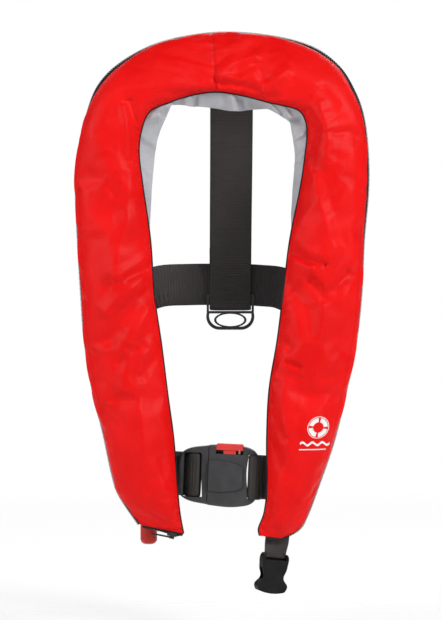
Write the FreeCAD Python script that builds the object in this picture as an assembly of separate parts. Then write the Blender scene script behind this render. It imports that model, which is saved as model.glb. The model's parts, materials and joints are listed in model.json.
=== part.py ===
"""Inflatable life jacket, worn upright with its buckle closed, as an assembly of its real pieces.

Millimetres. +X is to the right of someone facing the jacket, +Y is towards the wearer's back, +Z is up.
The origin is where the lining at the middle of the collar rests on the back of the wearer's neck.

The cover is a horseshoe pouch. Its outline is a list of stations from the foot of one lobe, over the
collar, to the foot of the other. Soft pieces are thick sheets between two grids of points, built from
flat triangles; hard pieces are ordinary solids with fillets.
"""
import FreeCAD
import Part
import Mesh
import math
import os

V = FreeCAD.Vector

# ---------------------------------------------------------------- driving dimensions
HALF_WIDTH = 150.0        # from the middle to the outer edge of a lobe
LOBE_DROP = 450.0         # from the origin down to the foot of a lobe
FRONT_PUFF = 24.0         # how far the front panel stands forward of the seam
BACK_PUFF = 10.0          # how far the back panel stands behind the seam
CLOTH = 1.2               # cover fabric with its coating and hems
INNER_EDGE = 1.5          # depth of the front panel's edge at the piping
OUTER_EDGE = 5.5          # half the width of the zip wall
SWEEP = 22.0              # how far the outer edges lie back of the middle
COLLAR_LEAN = 0.45        # slope of the collar, depth per height
BELLY = 6.0               # how far the feet of the lobes lie back

BELT_WIDTH = 45.0
BELT_THICK = 2.0
STRAP_X = 8.0             # the back strap hangs a little off the middle

BUCKLE_AT = V(-4.7, 26.0, -385.0)
BUCKLE_TILT = 2.5         # degrees, right end lower
BUCKLE_TURN = -3.5        # degrees about the vertical, left end further back

CROTCH_WIDTH = 25.0
CROTCH_THICK = 1.6
CROTCH_AT = V(57.0, 17.0, -449.0)
CROTCH_TWIST = 24.0       # degrees about the vertical
CROTCH_LEAN = 8.0         # degrees, foot towards the left

PULL_X = -78.0
PULL_TRAVEL = 12.0
LEVER_SWING = 39.0        # degrees, while the handle goes through its travel
LEVER_ARM = 18.0
HANDLE_TOP = V(PULL_X, 28.0, -424.0)
HANDLE_RADIUS = 8.8
HANDLE_LENGTH = 33.0
CORD_DIR = V(0, 0.35, -0.9367)
CORD_SIDE = V(0, 0.9367, 0.35)
LANYARD_RADIUS = 1.25
LANYARD_LENGTH = 53.0     # from the handle's top up to the lever

# Stations of the cover: inner edge x, z; outer edge x, z; how far the lining stands inward of the
# front panel's edge; share of the full puff.
STATIONS = [
    (-41.5, -444, -86, -435.5, 0, 0.02),
    (-45.5, -421.5, -107.5, -406.5, 0, 0.55),
    (-49.5, -393.5, -116, -386.5, 0, 0.85),
    (-52.5, -346, -127, -339, 0, 1.0),
    (-58, -299, -137.5, -297, 0, 1.0),
    (-64.5, -247, -144, -244.5, 0, 1.0),
    (-72, -195, -148.5, -195, 0, 1.0),
    (-76, -138, -152, -137.5, 2, 1.0),
    (-84, -81.5, -154, -81, 10, 1.0),
    (-88, -46.5, -153, -41.5, 18, 1.0),
    (-85, -22.5, -145, -8, 22, 1.0),
    (-77, -4.5, -130.5, 24.5, 22, 0.95),
    (-59, 4.5, -107.5, 49.5, 17, 0.9),
    (-33, 13, -67.5, 69.5, 15, 0.85),
    (-7.5, 16.5, -12.5, 80.5, 16, 0.8),
    (18.5, 13, 42, 79.5, 16, 0.85),
    (48, 5.5, 91, 67.5, 14, 0.9),
    (77, -1.5, 121.5, 45.5, 15, 0.95),
    (86, -12.5, 138, 18, 17, 1.0),
    (88, -28.5, 147, -8.5, 15, 1.0),
    (86, -49.5, 152, -43.5, 13, 1.0),
    (81, -83.5, 153, -85, 10, 1.0),
    (70, -138, 148.5, -137.5, 2, 1.0),
    (63.5, -190, 146.5, -192, 0, 1.0),
    (57, -242, 142, -244.5, 0, 1.0),
    (48.5, -294, 131.5, -296.5, 0, 1.0),
    (45, -346, 118.5, -348, 0, 1.0),
    (45.5, -393.5, 102, -396, 0, 0.85),
    (43.5, -421.5, 90.5, -424.5, 0, 0.55),
    (37.5, -438.5, 79.5, -440, 0, 0.25),
    (38.5, -446.5, 62, -449.5, 0, 0.02),
]
MIDDLE = 14               # the station at the collar's seam
CROWN_SHARES = (0.0, 0.05, 0.16, 0.34, 0.5, 0.66, 0.84, 0.95, 1.0)


# ---------------------------------------------------------------- soft solids
def seam_depth(x, z):
    """Y of the cover's seam: swept back at the sides, leaning back at the collar and at the feet."""
    soft = 25.0
    if z <= -soft:
        rise = 0.0
    elif z < soft:
        rise = (z + soft) ** 2 / (4 * soft)
    else:
        rise = z
    belly = BELLY * (min(z, 0.0) / LOBE_DROP) ** 2
    return SWEEP * (x / HALF_WIDTH) ** 2 + COLLAR_LEAN * rise + belly


def crown(share):
    """Height of a puffed panel across its width, 0 at both edges and 1 in the middle."""
    return math.sqrt(max(0.0, 1 - abs(2 * share - 1) ** 2.6))


def between(rows, per_span):
    """The rows again, with more of them along a Catmull-Rom curve."""
    made = []
    for i in range(len(rows) - 1):
        a, b, c, d = (rows[max(0, i - 1)], rows[i], rows[i + 1], rows[min(len(rows) - 1, i + 2)])
        for k in range(per_span):
            t = k / per_span
            made.append(tuple(
                0.5 * (2 * q + (r - p) * t + (2 * p - 5 * q + 4 * r - s) * t * t
                       + (3 * q - p - 3 * r + s) * t ** 3)
                for p, q, r, s in zip(a, b, c, d)))
    made.append(tuple(rows[-1]))
    return made


def sheet_solid(near, far):
    """The closed solid between two grids of points with the same rows and columns."""
    rows, columns = len(near), len(near[0])
    quads = []
    for i in range(rows - 1):
        for j in range(columns - 1):
            quads.append((near[i][j], near[i + 1][j], near[i + 1][j + 1], near[i][j + 1]))
            quads.append((far[i][j], far[i][j + 1], far[i + 1][j + 1], far[i + 1][j]))
        quads.append((near[i][0], far[i][0], far[i + 1][0], near[i + 1][0]))
        quads.append((near[i][-1], near[i + 1][-1], far[i + 1][-1], far[i][-1]))
    for j in range(columns - 1):
        quads.append((near[0][j], near[0][j + 1], far[0][j + 1], far[0][j]))
        quads.append((near[-1][j], far[-1][j], far[-1][j + 1], near[-1][j + 1]))
    corners = []
    for a, b, c, d in quads:
        for p in (a, b, c, a, c, d):
            corners.append([p.x, p.y, p.z])
    shape = Part.Shape()
    shape.makeShapeFromMesh(Mesh.Mesh(corners).Topology, 0.001)
    solid = Part.makeSolid(shape)
    if solid.Volume < 0:
        solid.reverse()
    return solid


def across(station, share, depth):
    """The point at a share of the way from the inner to the outer edge, at a depth from the seam."""
    ix, iz, ox, oz = station[:4]
    x = ix + (ox - ix) * share
    z = iz + (oz - iz) * share
    return V(x, seam_depth(x, z) + depth, z)


def panel_depth(station, side, skin, share):
    """How far a cover panel's surface lies from the seam, skin 0 outside and 1 inside."""
    lining, puff = station[4], station[5]
    full = (FRONT_PUFF if side < 0 else BACK_PUFF) * puff
    outer_edge = 1.6 + (OUTER_EDGE - 1.6) * min(1.0, puff * 1.4)
    edge = INNER_EDGE + (outer_edge - INNER_EDGE) * share
    depth = edge + (full - skin * min(CLOTH, full + 0.4)) * crown(share) - 0.35 * skin
    if side > 0:
        depth += min(lining, 6.0) * 0.8 * (1 - share) * crown(min(1.0, share + 0.1))
    return depth


def panel_row(station, side, skin):
    """One row of a cover panel: side -1 is the front and 1 the back, skin 0 outside and 1 inside."""
    lining = station[4]
    width = math.hypot(station[2] - station[0], station[3] - station[1])
    row = []
    start = 0.0 if side < 0 else -lining / width
    for share in CROWN_SHARES:
        inset = skin * CLOTH / width
        at = start + inset + (1 - start - 2 * inset) * share
        row.append(across(station, at, side * panel_depth(station, side, skin, share)))
    if side > 0:
        row.insert(0, across(station, inset, 0.2 + 0.4 * skin))
    return row


def lobe_back(x, z, half):
    """The furthest back that the cover reaches within half of x, level with z on a lobe."""
    rows = between(STATIONS, 6)
    rows = [s for s in rows if (s[0] + s[2]) * x > 0 and s[1] < -100]
    found = []
    for k in (-half, 0, half):
        shares = [(x + k - s[0]) / (s[2] - s[0]) for s in rows]
        near = min(range(len(rows)), key=lambda i: abs(
            rows[i][1] + (rows[i][3] - rows[i][1]) * shares[i] - z))
        share = min(1.0, max(0.0, shares[near]))
        found.append(seam_depth(x + k, z) + panel_depth(rows[near], 1, 0, share))
    return max(found)


def panel(stations, side):
    near = [panel_row(s, side, 0) for s in stations]
    far = [panel_row(s, side, 1) for s in stations]
    return sheet_solid(near, far)


def ribbon(points, normals, width, thick):
    """Webbing of a width and thickness along points, with its face towards the normals."""
    near, far = [], []
    for i, p in enumerate(points):
        ahead = points[min(i + 1, len(points) - 1)] - points[max(i - 1, 0)]
        ahead.normalize()
        n = normals[i] - ahead * normals[i].dot(ahead)
        n.normalize()
        side = ahead.cross(n)
        near.append([p + n * (thick / 2) + side * (k * width / 2) for k in (-1, 1)])
        far.append([p - n * (thick / 2) + side * (k * width / 2) for k in (-1, 1)])
    return sheet_solid(near, far)


def flat_ribbon(plan, width, thick, place):
    """Webbing that follows a plan of (x, y) points, its width along the local Z, then placed."""
    points = [V(x, y, 0) for x, y in between(plan, 3)]
    normals = []
    for i in range(len(points)):
        ahead = points[min(i + 1, len(points) - 1)] - points[max(i - 1, 0)]
        normals.append(V(-ahead.y, ahead.x, 0))
    return ribbon([place.multVec(p) for p in points],
                  [place.Rotation.multVec(n) for n in normals], width, thick)


# ---------------------------------------------------------------- hard solids
def box(x0, x1, y0, y1, z0, z1):
    return Part.makeBox(x1 - x0, y1 - y0, z1 - z0, V(x0, y0, z0))


def rod(start, end, radius):
    axis = end - start
    return Part.makeCylinder(radius, axis.Length, start, axis)


def plate(outline, y0, y1):
    """A plate from an XZ outline: each entry is a point, or (point on the arc, end of the arc)."""
    edges = []
    at = outline[0]
    for step in list(outline[1:]) + [outline[0]]:
        if isinstance(step[0], tuple):
            via, end = step
            edges.append(Part.Arc(V(at[0], y0, at[1]), V(via[0], y0, via[1]),
                                  V(end[0], y0, end[1])).toShape())
            at = end
        elif step != at:
            edges.append(Part.LineSegment(V(at[0], y0, at[1]), V(step[0], y0, step[1])).toShape())
            at = step
    return Part.Face(Part.Wire(edges)).extrude(V(0, y1 - y0, 0))


def smooth_plate(points, y0, y1):
    """A plate whose XZ outline is one smooth curve through the points, closed by a straight edge."""
    curve = Part.BSplineCurve()
    curve.interpolate([V(x, y0, z) for x, z in points])
    (xa, za), (xb, zb) = points[0], points[-1]
    close = Part.LineSegment(V(xb, y0, zb), V(xa, y0, za)).toShape()
    return Part.Face(Part.Wire([curve.toShape(), close])).extrude(V(0, y1 - y0, 0))


def rounded(solid, radius, keep):
    """The solid with a fillet on each edge whose middle point passes the test."""
    edges = [e for e in solid.Edges if keep(e.valueAt((e.FirstParameter + e.LastParameter) / 2))]
    return solid.makeFillet(radius, edges)


def placed(solid, place):
    moved = solid.copy()
    moved.Placement = place.multiply(moved.Placement)
    return moved


# ---------------------------------------------------------------- cover, zip and piping
def cover_parts():
    rows = between(STATIONS, 2)
    left, right = rows[:2 * MIDDLE + 1], rows[2 * MIDDLE:]
    parts = {
        "cover_front_left": panel(left, -1),
        "cover_front_right": panel(right, -1),
        "cover_back_left": panel(left, 1),
        "cover_back_right": panel(right, 1),
    }
    hole = rod(HANDLE_TOP - CORD_DIR * 50, HANDLE_TOP, 4.6)
    parts["cover_back_left"] = parts["cover_back_left"].cut(hole)
    return parts


def piping():
    """The cord sewn in along the inner edge, between the front panel and the lining."""
    radius = 0.9
    near, far = [], []
    for s in between(STATIONS[:-1], 2)[1:]:
        width = math.hypot(s[2] - s[0], s[3] - s[1])
        near.append([across(s, -share / width, -1.0 - depth) for share, depth in
                     ((0.15, -radius), (0.15, radius))])
        far.append([across(s, -share / width, -1.0 - depth) for share, depth in
                    ((2 * radius, -radius), (2 * radius, radius))])
    return sheet_solid(near, far)


def zip_line():
    """Points along the zip, with the outward direction and half the width of the wall there."""
    rows = between(STATIONS, 2)
    line = []
    outer = [V(s[2], 0, s[3]) for s in rows]
    for i, s in enumerate(rows):
        ahead = outer[min(i + 1, len(outer) - 1)] - outer[max(i - 1, 0)]
        ahead.normalize()
        out = V(-ahead.z, 0, ahead.x)
        half = 1.4 + (OUTER_EDGE - 1.6) * min(1.0, s[5] * 1.4)
        line.append((V(s[2], seam_depth(s[2], s[3]), s[3]), out, half))
    return line


def zip_strip(low, high, half_width):
    """A strip on the zip's wall, standing from low to high off it."""
    near = [[p + out * low + V(0, k * min(half_width, half), 0) for k in (-1, 1)]
            for p, out, half in zip_line()]
    far = [[p + out * high + V(0, k * min(half_width, half), 0) for k in (-1, 1)]
           for p, out, half in zip_line()]
    return sheet_solid(near, far)


FOOT_IN = across(STATIONS[0], 0, 0)
FOOT_OUT = across(STATIONS[0], 1, 0)
FOOT_ALONG = (FOOT_OUT - FOOT_IN).normalize()
FOOT_DOWN = V(-FOOT_ALONG.z, 0, FOOT_ALONG.x)
FOOT_PLACE = FreeCAD.Placement(FOOT_IN, FreeCAD.Rotation(FOOT_ALONG, V(), FOOT_DOWN, "XZY"))


def zip_foot_parts():
    """The zip's straight end across the closed left foot, its slider and the slider's puller.

    Local X runs along the foot to the outer edge and local Z points down, out of the cover.
    """
    place = FOOT_PLACE
    end = box(1, 43, -2.0, 2.0, 0.9, 1.9).fuse(box(1, 43, -1.2, 1.2, 1.9, 3.0))
    slider = box(6, 16, -3.6, 3.6, 1.2, 5.2).cut(box(5, 17, -2.4, 2.4, 1.0, 3.4))
    slider = rounded(slider, 0.6, lambda p: p.z > 5.1)
    bridge = box(8.5, 13.5, -0.9, 0.9, 5.2, 8.0).cut(rod(V(11, -2, 6.6), V(11, 2, 6.6), 0.75))
    puller = box(11, 33, -2.6, 2.6, 5.9, 7.3).cut(box(9, 15, -1.2, 1.2, 5, 9))
    puller = puller.fuse(rod(V(11, -2.6, 6.6), V(11, 2.6, 6.6), 0.7))
    puller = rounded(puller.removeSplitter(), 0.4, lambda p: p.x > 32.9)
    return {
        "zip_foot_chain": placed(end, place),
        "zip_slider": placed(slider.fuse(bridge), place),
        "zip_puller": placed(puller, place),
    }


# ---------------------------------------------------------------- bladder and inflation
def bladder():
    """The flat-folded bladder, packed into the outer side of each lobe and across the collar."""
    rows = between(STATIONS, 1)[1:-1]
    near, far = [], []
    for s in rows:
        level = min(s[1], s[3])
        low = 0.56 if level < -150 else (0.56 - (level + 150) * 0.0052 if level < -70 else 0.14)
        front, back = [], []
        for share in (low, low + 0.06, 0.78, 0.9, 0.94):
            rise = crown(share) - 0.12
            front.append(across(s, share, -(FRONT_PUFF * s[5] * rise * 0.82)))
            back.append(across(s, share, BACK_PUFF * s[5] * rise * 0.66))
        near.append(front)
        far.append(back)
    return sheet_solid(near, far)


CYLINDER_FOOT = V(-77.0, 3.0, -319.0)
CYLINDER_HEAD = V(-97.0, 3.0, -185.0)
GAS_UP = (CYLINDER_HEAD - CYLINDER_FOOT).normalize()
GAS_PLACE = FreeCAD.Placement(CYLINDER_FOOT, FreeCAD.Rotation(V(0, 0, 1), GAS_UP))


def gas_parts():
    """Cylinder, firing head and automatic cap, built about the cylinder's axis and then tilted."""
    radius, length = 12.5, 122.0
    shell = Part.makeCylinder(radius, length, V(0, 0, 12))
    shell = rounded(shell, 9.5, lambda p: p.z < 12.5)
    shell = rounded(shell, 6.0, lambda p: p.z > length + 11)
    neck = Part.makeCylinder(6.2, 17, V(0, 0, -4))
    head = box(-15, 15, -10.5, 10.5, -30, 2)
    head = rounded(head, 4.0, lambda p: abs(abs(p.x) - 15) < 0.1 and abs(abs(p.y) - 10.5) < 0.1)
    head = head.cut(Part.makeCylinder(6.3, 7, V(0, 0, -4.2)))
    head = head.cut(Part.makeCylinder(2.3, 24, V(0, 0, -25)))
    head = head.cut(Part.makeCylinder(8.0, 14, V(0, 0, -31)))
    cartridge = Part.makeCylinder(7.4, 4.5, V(0, 0, -40))
    cartridge = cartridge.cut(Part.makeCylinder(3.0, 6, V(0, 0, -41)))
    cap = Part.makeCylinder(11.0, 14.2, V(0, 0, -44.4)).cut(Part.makeCylinder(8.0, 12, V(0, 0, -42)))
    cap = rounded(cap, 2.0, lambda p: p.z < -44.3 and math.hypot(p.x, p.y) > 10)
    for k in range(12):
        turn = math.radians(30 * k)
        at = V(11.6 * math.cos(turn), 11.6 * math.sin(turn), -40)
        cap = cap.cut(Part.makeCylinder(1.1, 12, at))
    spring = Part.makeCylinder(4.4, 9.5, V(0, 0, -35.0)).cut(Part.makeCylinder(3.2, 12, V(0, 0, -36)))
    pin = Part.makeCylinder(1.9, 16, V(0, 0, -26)).fuse(Part.makeCylinder(4.2, 1.6, V(0, 0, -25.4)))
    pin = pin.fuse(Part.makeCone(1.9, 0.3, 2.4, V(0, 0, -10)))
    stem = Part.makeCylinder(5.0, 9, V(-24, 0, -14), V(1, 0, 0))
    nut = Part.makeCylinder(8.0, 3.2, V(-19.6, 0, -14), V(1, 0, 0))
    nut = nut.cut(Part.makeCylinder(5.05, 5, V(-20.5, 0, -14), V(1, 0, 0)))
    parts = {
        "gas_cylinder": shell.fuse(neck).removeSplitter(),
        "firing_head": head,
        "automatic_cap": cap,
        "automatic_cartridge": cartridge,
        "cartridge_spring": spring,
        "firing_pin": pin,
        "bladder_valve_stem": stem,
        "valve_nut": nut,
    }
    parts = {name: placed(solid, GAS_PLACE) for name, solid in parts.items()}
    pivot, axle_radius = lever_pivot(), 1.5
    ear = box(-87.5, -84.3, pivot.y - 5, pivot.y + 7, pivot.z - 5, -344)
    ear = rounded(ear, 3.0, lambda p: p.z < pivot.z - 4.9 and abs(p.x + 85.9) < 0.1)
    ear = ear.cut(rod(V(-90, pivot.y, pivot.z), V(-80, pivot.y, pivot.z), axle_radius + 0.05))
    parts["firing_head"] = parts["firing_head"].fuse(ear).removeSplitter()
    axle = rod(V(-87.5, pivot.y, pivot.z), V(-74.0, pivot.y, pivot.z), axle_radius)
    parts["lever_axle"] = axle.fuse(rod(V(-74.6, pivot.y, pivot.z), V(-73.6, pivot.y, pivot.z), 2.6))
    return parts


def lever_tip():
    """Where the lanyard passes through the resting lever."""
    return HANDLE_TOP - CORD_DIR * LANYARD_LENGTH


def lever_pivot():
    """The lever's axle, placed so that the arm is square to the lanyard halfway through the pull."""
    half = math.radians(LEVER_SWING / 2)
    return lever_tip() + CORD_DIR * (PULL_TRAVEL / 2) - CORD_SIDE * (LEVER_ARM * math.cos(half))


def lever():
    """The firing lever, a bar with a hub on the axle and a fork that the lanyard runs through."""
    pivot, tip = lever_pivot(), lever_tip()
    arm = tip - pivot
    bar = box(-3.4, 3.4, -2.2, 2.2, 0, LEVER_ARM + 5)
    bar = bar.fuse(rod(V(-3.4, 0, 0), V(3.4, 0, 0), 3.4))
    bar = bar.cut(box(-1.9, 1.9, -6, 6, LEVER_ARM - 5.5, LEVER_ARM + 9))
    bar = bar.cut(rod(V(-5, 0, 0), V(5, 0, 0), 1.55))
    turn = math.degrees(math.atan2(-arm.y, arm.z))
    place = FreeCAD.Placement(pivot, FreeCAD.Rotation(V(1, 0, 0), turn))
    return placed(bar.removeSplitter(), place)


def pull_parts():
    knot_at = lever_tip() - CORD_DIR * 5.4
    foot_knot = HANDLE_TOP - CORD_DIR * 2.0
    lanyard = rod(knot_at, foot_knot, LANYARD_RADIUS)
    lanyard = lanyard.fuse(Part.makeSphere(2.4, knot_at)).fuse(Part.makeSphere(2.4, foot_knot))
    foot = V(HANDLE_TOP.x, HANDLE_TOP.y, HANDLE_TOP.z - HANDLE_LENGTH)
    knob = rod(V(foot.x, foot.y, HANDLE_TOP.z), foot, HANDLE_RADIUS)
    knob = rounded(knob, 5.6, lambda p: p.z < foot.z + 0.1)
    knob = rounded(knob, 2.4, lambda p: p.z > HANDLE_TOP.z - 0.1)
    knob = knob.cut(Part.makeSphere(2.5, foot_knot))
    knob = knob.cut(rod(foot_knot - CORD_DIR * 8, foot_knot, 1.4))
    tube = rod(HANDLE_TOP - CORD_DIR * 28, HANDLE_TOP - CORD_DIR * 20, 4.4)
    eyelet = tube.cut(rod(HANDLE_TOP - CORD_DIR * 30, HANDLE_TOP - CORD_DIR * 18, 2.9))
    return {
        "pull_lanyard": lanyard.removeSplitter(),
        "pull_handle": knob,
        "lanyard_eyelet": eyelet,
    }


ORAL_FOOT = V(97.0, 1.5, -305.0)
ORAL_UP = (V(84.0, 1.0, -180.0) - ORAL_FOOT).normalize()
WHISTLE_AT = V(70.0, 2.0, -288.0)


def oral_parts():
    """The mouth tube with its valve and cap, and the whistle below it, in the right lobe."""
    place = FreeCAD.Placement(ORAL_FOOT, FreeCAD.Rotation(V(0, 0, 1), ORAL_UP))
    tube = Part.makeCylinder(7.5, 95).cut(Part.makeCylinder(5.2, 97, V(0, 0, -1)))
    flange = Part.makeCylinder(11.0, 3.0, V(0, 0, -3.2)).cut(Part.makeCylinder(5.2, 5, V(0, 0, -4)))
    flange = rounded(flange, 1.0, lambda p: math.hypot(p.x, p.y) > 10.5)
    mouth = Part.makeCylinder(6.4, 12, V(0, 0, 95.2)).cut(Part.makeCylinder(4.4, 14, V(0, 0, 94)))
    mouth = mouth.fuse(Part.makeCylinder(8.2, 2.4, V(0, 0, 97)).cut(
        Part.makeCylinder(4.4, 4, V(0, 0, 96))))
    valve = Part.makeCylinder(3.9, 5.0, V(0, 0, 97)).fuse(Part.makeCylinder(1.2, 6, V(0, 0, 92)))
    cap = Part.makeCylinder(8.2, 9.5, V(0, 0, 99.8)).cut(Part.makeCylinder(6.5, 7.9, V(0, 0, 99.7)))
    cap = rounded(cap, 1.5, lambda p: p.z > 109.2)
    whistle = box(-8, 8, -5, 5, -52, -16)
    whistle = rounded(whistle, 3.0, lambda p: abs(abs(p.x) - 8) < 0.1 and abs(abs(p.y) - 5) < 0.1)
    whistle = whistle.cut(box(-6.4, 6.4, -3.4, 3.4, -50, -15))
    whistle = whistle.cut(box(-5, 5, -6, 0, -34, -31))
    tab = box(-3, 3, -1.2, 1.2, -58, -51).cut(rod(V(0, -3, -55), V(0, 3, -55), 1.6))
    whistle = whistle.fuse(tab).removeSplitter()
    loop = Part.makeTorus(3.6, 1.0, V(0, 0, -58.6), V(1, 0, 0))
    parts = {"oral_tube": tube, "oral_flange": flange, "oral_mouthpiece": mouth,
             "oral_valve": valve, "oral_cap": cap}
    hang = FreeCAD.Placement(WHISTLE_AT, FreeCAD.Rotation())
    return {
        **{name: placed(solid, place) for name, solid in parts.items()},
        "whistle": placed(whistle, hang),
        "whistle_ring": placed(loop, hang),
    }


# ---------------------------------------------------------------- waist belt, back strap and ring
BELT_PATH = [
    (-62, 41.5, -382.8), (-80, 45, -381.8), (-95, 53, -379.6), (-105.5, 67, -363), (-111, 79, -310),
    (-110, 89, -245), (-97, 101, -208), (-72, 108.3, -191), (-36, 111.8, -185.5), (8, 112.8, -185),
    (40, 111.8, -186.5), (66, 108.3, -191), (89, 101, -208), (102, 88, -245), (105, 72, -305),
    (101, 56, -362), (91, 44, -381), (77, 36, -385.6), (64, 30.2, -387.8), (50, 29.6, -387.2),
]


def belt_normal(p):
    """Outward from the middle of the wearer's body, nearly flat across the front and back."""
    across_share, deep_share = p.x / 112.0, (p.y - 70.0) / 41.0
    return V(across_share ** 3, deep_share ** 3, 0)


def belt_parts():
    points = [V(*p) for p in between(BELT_PATH, 3)]
    belt = ribbon(points, [belt_normal(p) for p in points], BELT_WIDTH, BELT_THICK)
    keepers = {}
    for name, x, z, out in (("left", -86.0, -381.0, 59.0), ("right", 81.0, -384.0, 50.5)):
        half = BELT_WIDTH / 2 + 4.5
        low, high = (lobe_back(x, z + k * (half + 5), 6.0) + 1.0 for k in (-1, 1))
        path = [(low, -half - 7), (low + 0.6, -half - 3), (34, -half), (out - 5, -half + 0.5),
                (out, -half + 6), (out + 0.7, 0), (out, half - 6), (out - 5, half - 0.5), (34, half),
                (high + 0.6, half + 3), (high, half + 7)]
        run = [V(x, y, z + up) for y, up in between(path, 2)]
        outward = [V(0, 1, (p.z - z) * 0.09) for p in run]
        keepers["belt_keeper_" + name] = ribbon(run, outward, 12.0, 1.2)
    return {"waist_belt": belt, **keepers}


BACK_STRAP_PATH = [
    (9, 26, 12), (9, 37, -12), (8.8, 60, -60), (8.4, 84, -115), (8.2, 98.5, -155), (8, 103.4, -172),
    (8, 104.8, -188), (8, 105.2, -202), (8, 107.4, -208.4), (8, 111, -210.6), (8, 114.8, -208.4),
    (8, 116.6, -202), (8, 116.6, -180), (8, 115.9, -165), (8, 112.6, -158), (8, 106.6, -151.5),
    (8, 101.4, -144),
]


def back_strap():
    points = [V(*p) for p in between(BACK_STRAP_PATH, 3)]
    normals = []
    for i in range(len(points)):
        ahead = points[min(i + 1, len(points) - 1)] - points[max(i - 1, 0)]
        normals.append(V(0, ahead.z, -ahead.y))
    return ribbon(points, normals, BELT_WIDTH, BELT_THICK)


RING_PIVOT = V(STRAP_X, 108.0, -195.5)
RING_THICK = 2.4


def back_ring():
    """The moulded ring under the back strap: a slot for the strap and an oval eye below it."""
    x, y, z = RING_PIVOT.x, RING_PIVOT.y, RING_PIVOT.z
    half, low = 25.6, z - 37.0
    outline = [(x - half, z + 1.2), (x - half, z - 19), ((x - 22.6, low + 5), (x - 12, low)),
               (x + 12, low), ((x + 22.6, low + 5), (x + half, z - 19)), (x + half, z + 1.2)]
    frame = plate(outline, y - RING_THICK / 2, y + RING_THICK / 2)
    slot = box(x - 23.1, x + 23.1, y - 5, y + 5, z - 16.6, z - 1.2)
    inner = [(x - 22.6, z - 19.4), ((x - 20, low + 7.4), (x - 11, low + 3.4)), (x + 11, low + 3.4),
             ((x + 20, low + 7.4), (x + 22.6, z - 19.4))]
    window = plate(inner, y - 5, y + 5)
    middle = V(x, y - RING_THICK / 2, low + 10.6)
    oval = []
    for major, minor in ((17.6, 8.4), (15.0, 6.6)):
        curve = Part.Ellipse(V(0, 0, 0), major, minor).toShape()
        face = Part.Face(Part.Wire([curve]))
        solid = face.extrude(V(0, 0, RING_THICK))
        solid.Placement = FreeCAD.Placement(middle + V(0, RING_THICK, 0),
                                            FreeCAD.Rotation(V(1, 0, 0), 90))
        oval.append(solid)
    ring = frame.cut(slot).cut(window).fuse(oval[0]).cut(oval[1])
    ring = ring.fuse(rod(V(x - half + 1, y, z), V(x + half - 1, y, z), 1.45))
    return ring.removeSplitter()


# ---------------------------------------------------------------- waist buckle
BUCKLE_PLACE = FreeCAD.Placement(BUCKLE_AT, FreeCAD.Rotation(V(0, 0, 1), BUCKLE_TURN).multiply(
    FreeCAD.Rotation(V(0, 1, 0), BUCKLE_TILT)))


def buckle_parts():
    """Both halves of the belt's buckle, in the buckle's own frame with X along the belt."""
    split = -10.6
    body = [(split + 0.3, -31), (0, -31.9), (14, -32.4), (26, -31), (35, -28.2), (39.8, -23.4),
            (41.5, -15), (41.7, 0), (41.5, 15), (39.8, 23.6), (35, 28.4), (26, 31.4), (14, 32.8),
            (0, 32.5), (split + 0.3, 31.8)]
    shell = smooth_plate(body, -6.8, 6.0)
    shell = rounded(shell, 3.2, lambda p: p.y < -6.7 and p.x > split + 1)
    pad = plate([(split + 0.3, -15.6), ((10, -16.2), (26, -12)), (26, 10),
                 ((10, 15.4), (split + 0.3, 16.2))], -9.0, -6.0)
    pad = rounded(pad, 1.5, lambda p: p.y < -8.9 and p.x > split + 1)
    shell = shell.fuse(pad)
    shell = shell.cut(box(split - 1, 24.5, -2.7, 2.7, -16.6, 16.6))
    bar_slot = [(34.4, 23.4), (30.7, 23.4), (30.7, 20), ((29.1, 4), (30.7, -13)), (30.7, -23.4), (34.4, -23.4)]
    shell = shell.cut(plate(bar_slot, -10, 10))
    shell = shell.cut(box(-3.4, 25.4, -10, 2.2, 23.2, 40))
    shell = shell.cut(box(4.2, 17.8, -5.8, -3.2, 18.0, 24))
    front = shell.common(box(-60, 60, -20, -0.05, -60, 60))
    back = shell.common(box(-60, 60, 0.05, 20, -60, 60))

    button = box(-3.0, 25.0, -6.6, 1.8, 27.4, 34.0)
    button = rounded(button, 1.6, lambda p: p.z > 33.9)
    button = button.cut(Part.makeCylinder(2.2, 5, V(21.0, -1.6, 26.8)))
    stem = box(4.5, 17.5, -5.6, -3.4, 22.2, 28.0)
    coil = Part.makeCylinder(1.9, 3.9, V(21.0, -1.6, 23.35))
    coil = coil.cut(Part.makeCylinder(1.3, 5, V(21.0, -1.6, 23)))

    frame = [(split - 0.3, -30.6), (-24, -28.8), (-34, -25.8), (-39.6, -21.6), (-41.8, -14),
             (-42, 0), (-41.8, 14), (-39.6, 22), (-34, 26.4), (-24, 29.4), (split - 0.3, 31.4)]
    male = smooth_plate(frame, -5.6, 4.0)
    male = rounded(male, 2.6, lambda p: p.y < -5.5 and p.x < split - 1)
    lacing_slot = [(-36.6, 23.4), (-18.0, 23.4), (-17.8, 0), (-16.2, -23.4), (-36.6, -23.4)]
    male = male.cut(plate(lacing_slot, -10, 10))
    bar = box(-29.2, -22.8, -1.6, 2.6, -24.4, 24.4)
    bar = rounded(bar, 1.2, lambda p: abs(p.z) < 1)
    tongue = box(split - 2, 21.6, -2.3, 2.3, -15.9, 15.9)
    tongue = rounded(tongue, 5.0, lambda p: p.x > 21.5 and abs(p.y) < 0.5)
    tongue = tongue.cut(box(split + 6, 14, -4, 4, -9, 9))
    male = male.fuse(bar).fuse(tongue).removeSplitter()
    return {
        "buckle_front_shell": front,
        "buckle_back_shell": back,
        "release_button": button.fuse(stem).removeSplitter(),
        "button_spring": coil,
        "buckle_tongue": male,
    }


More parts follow.
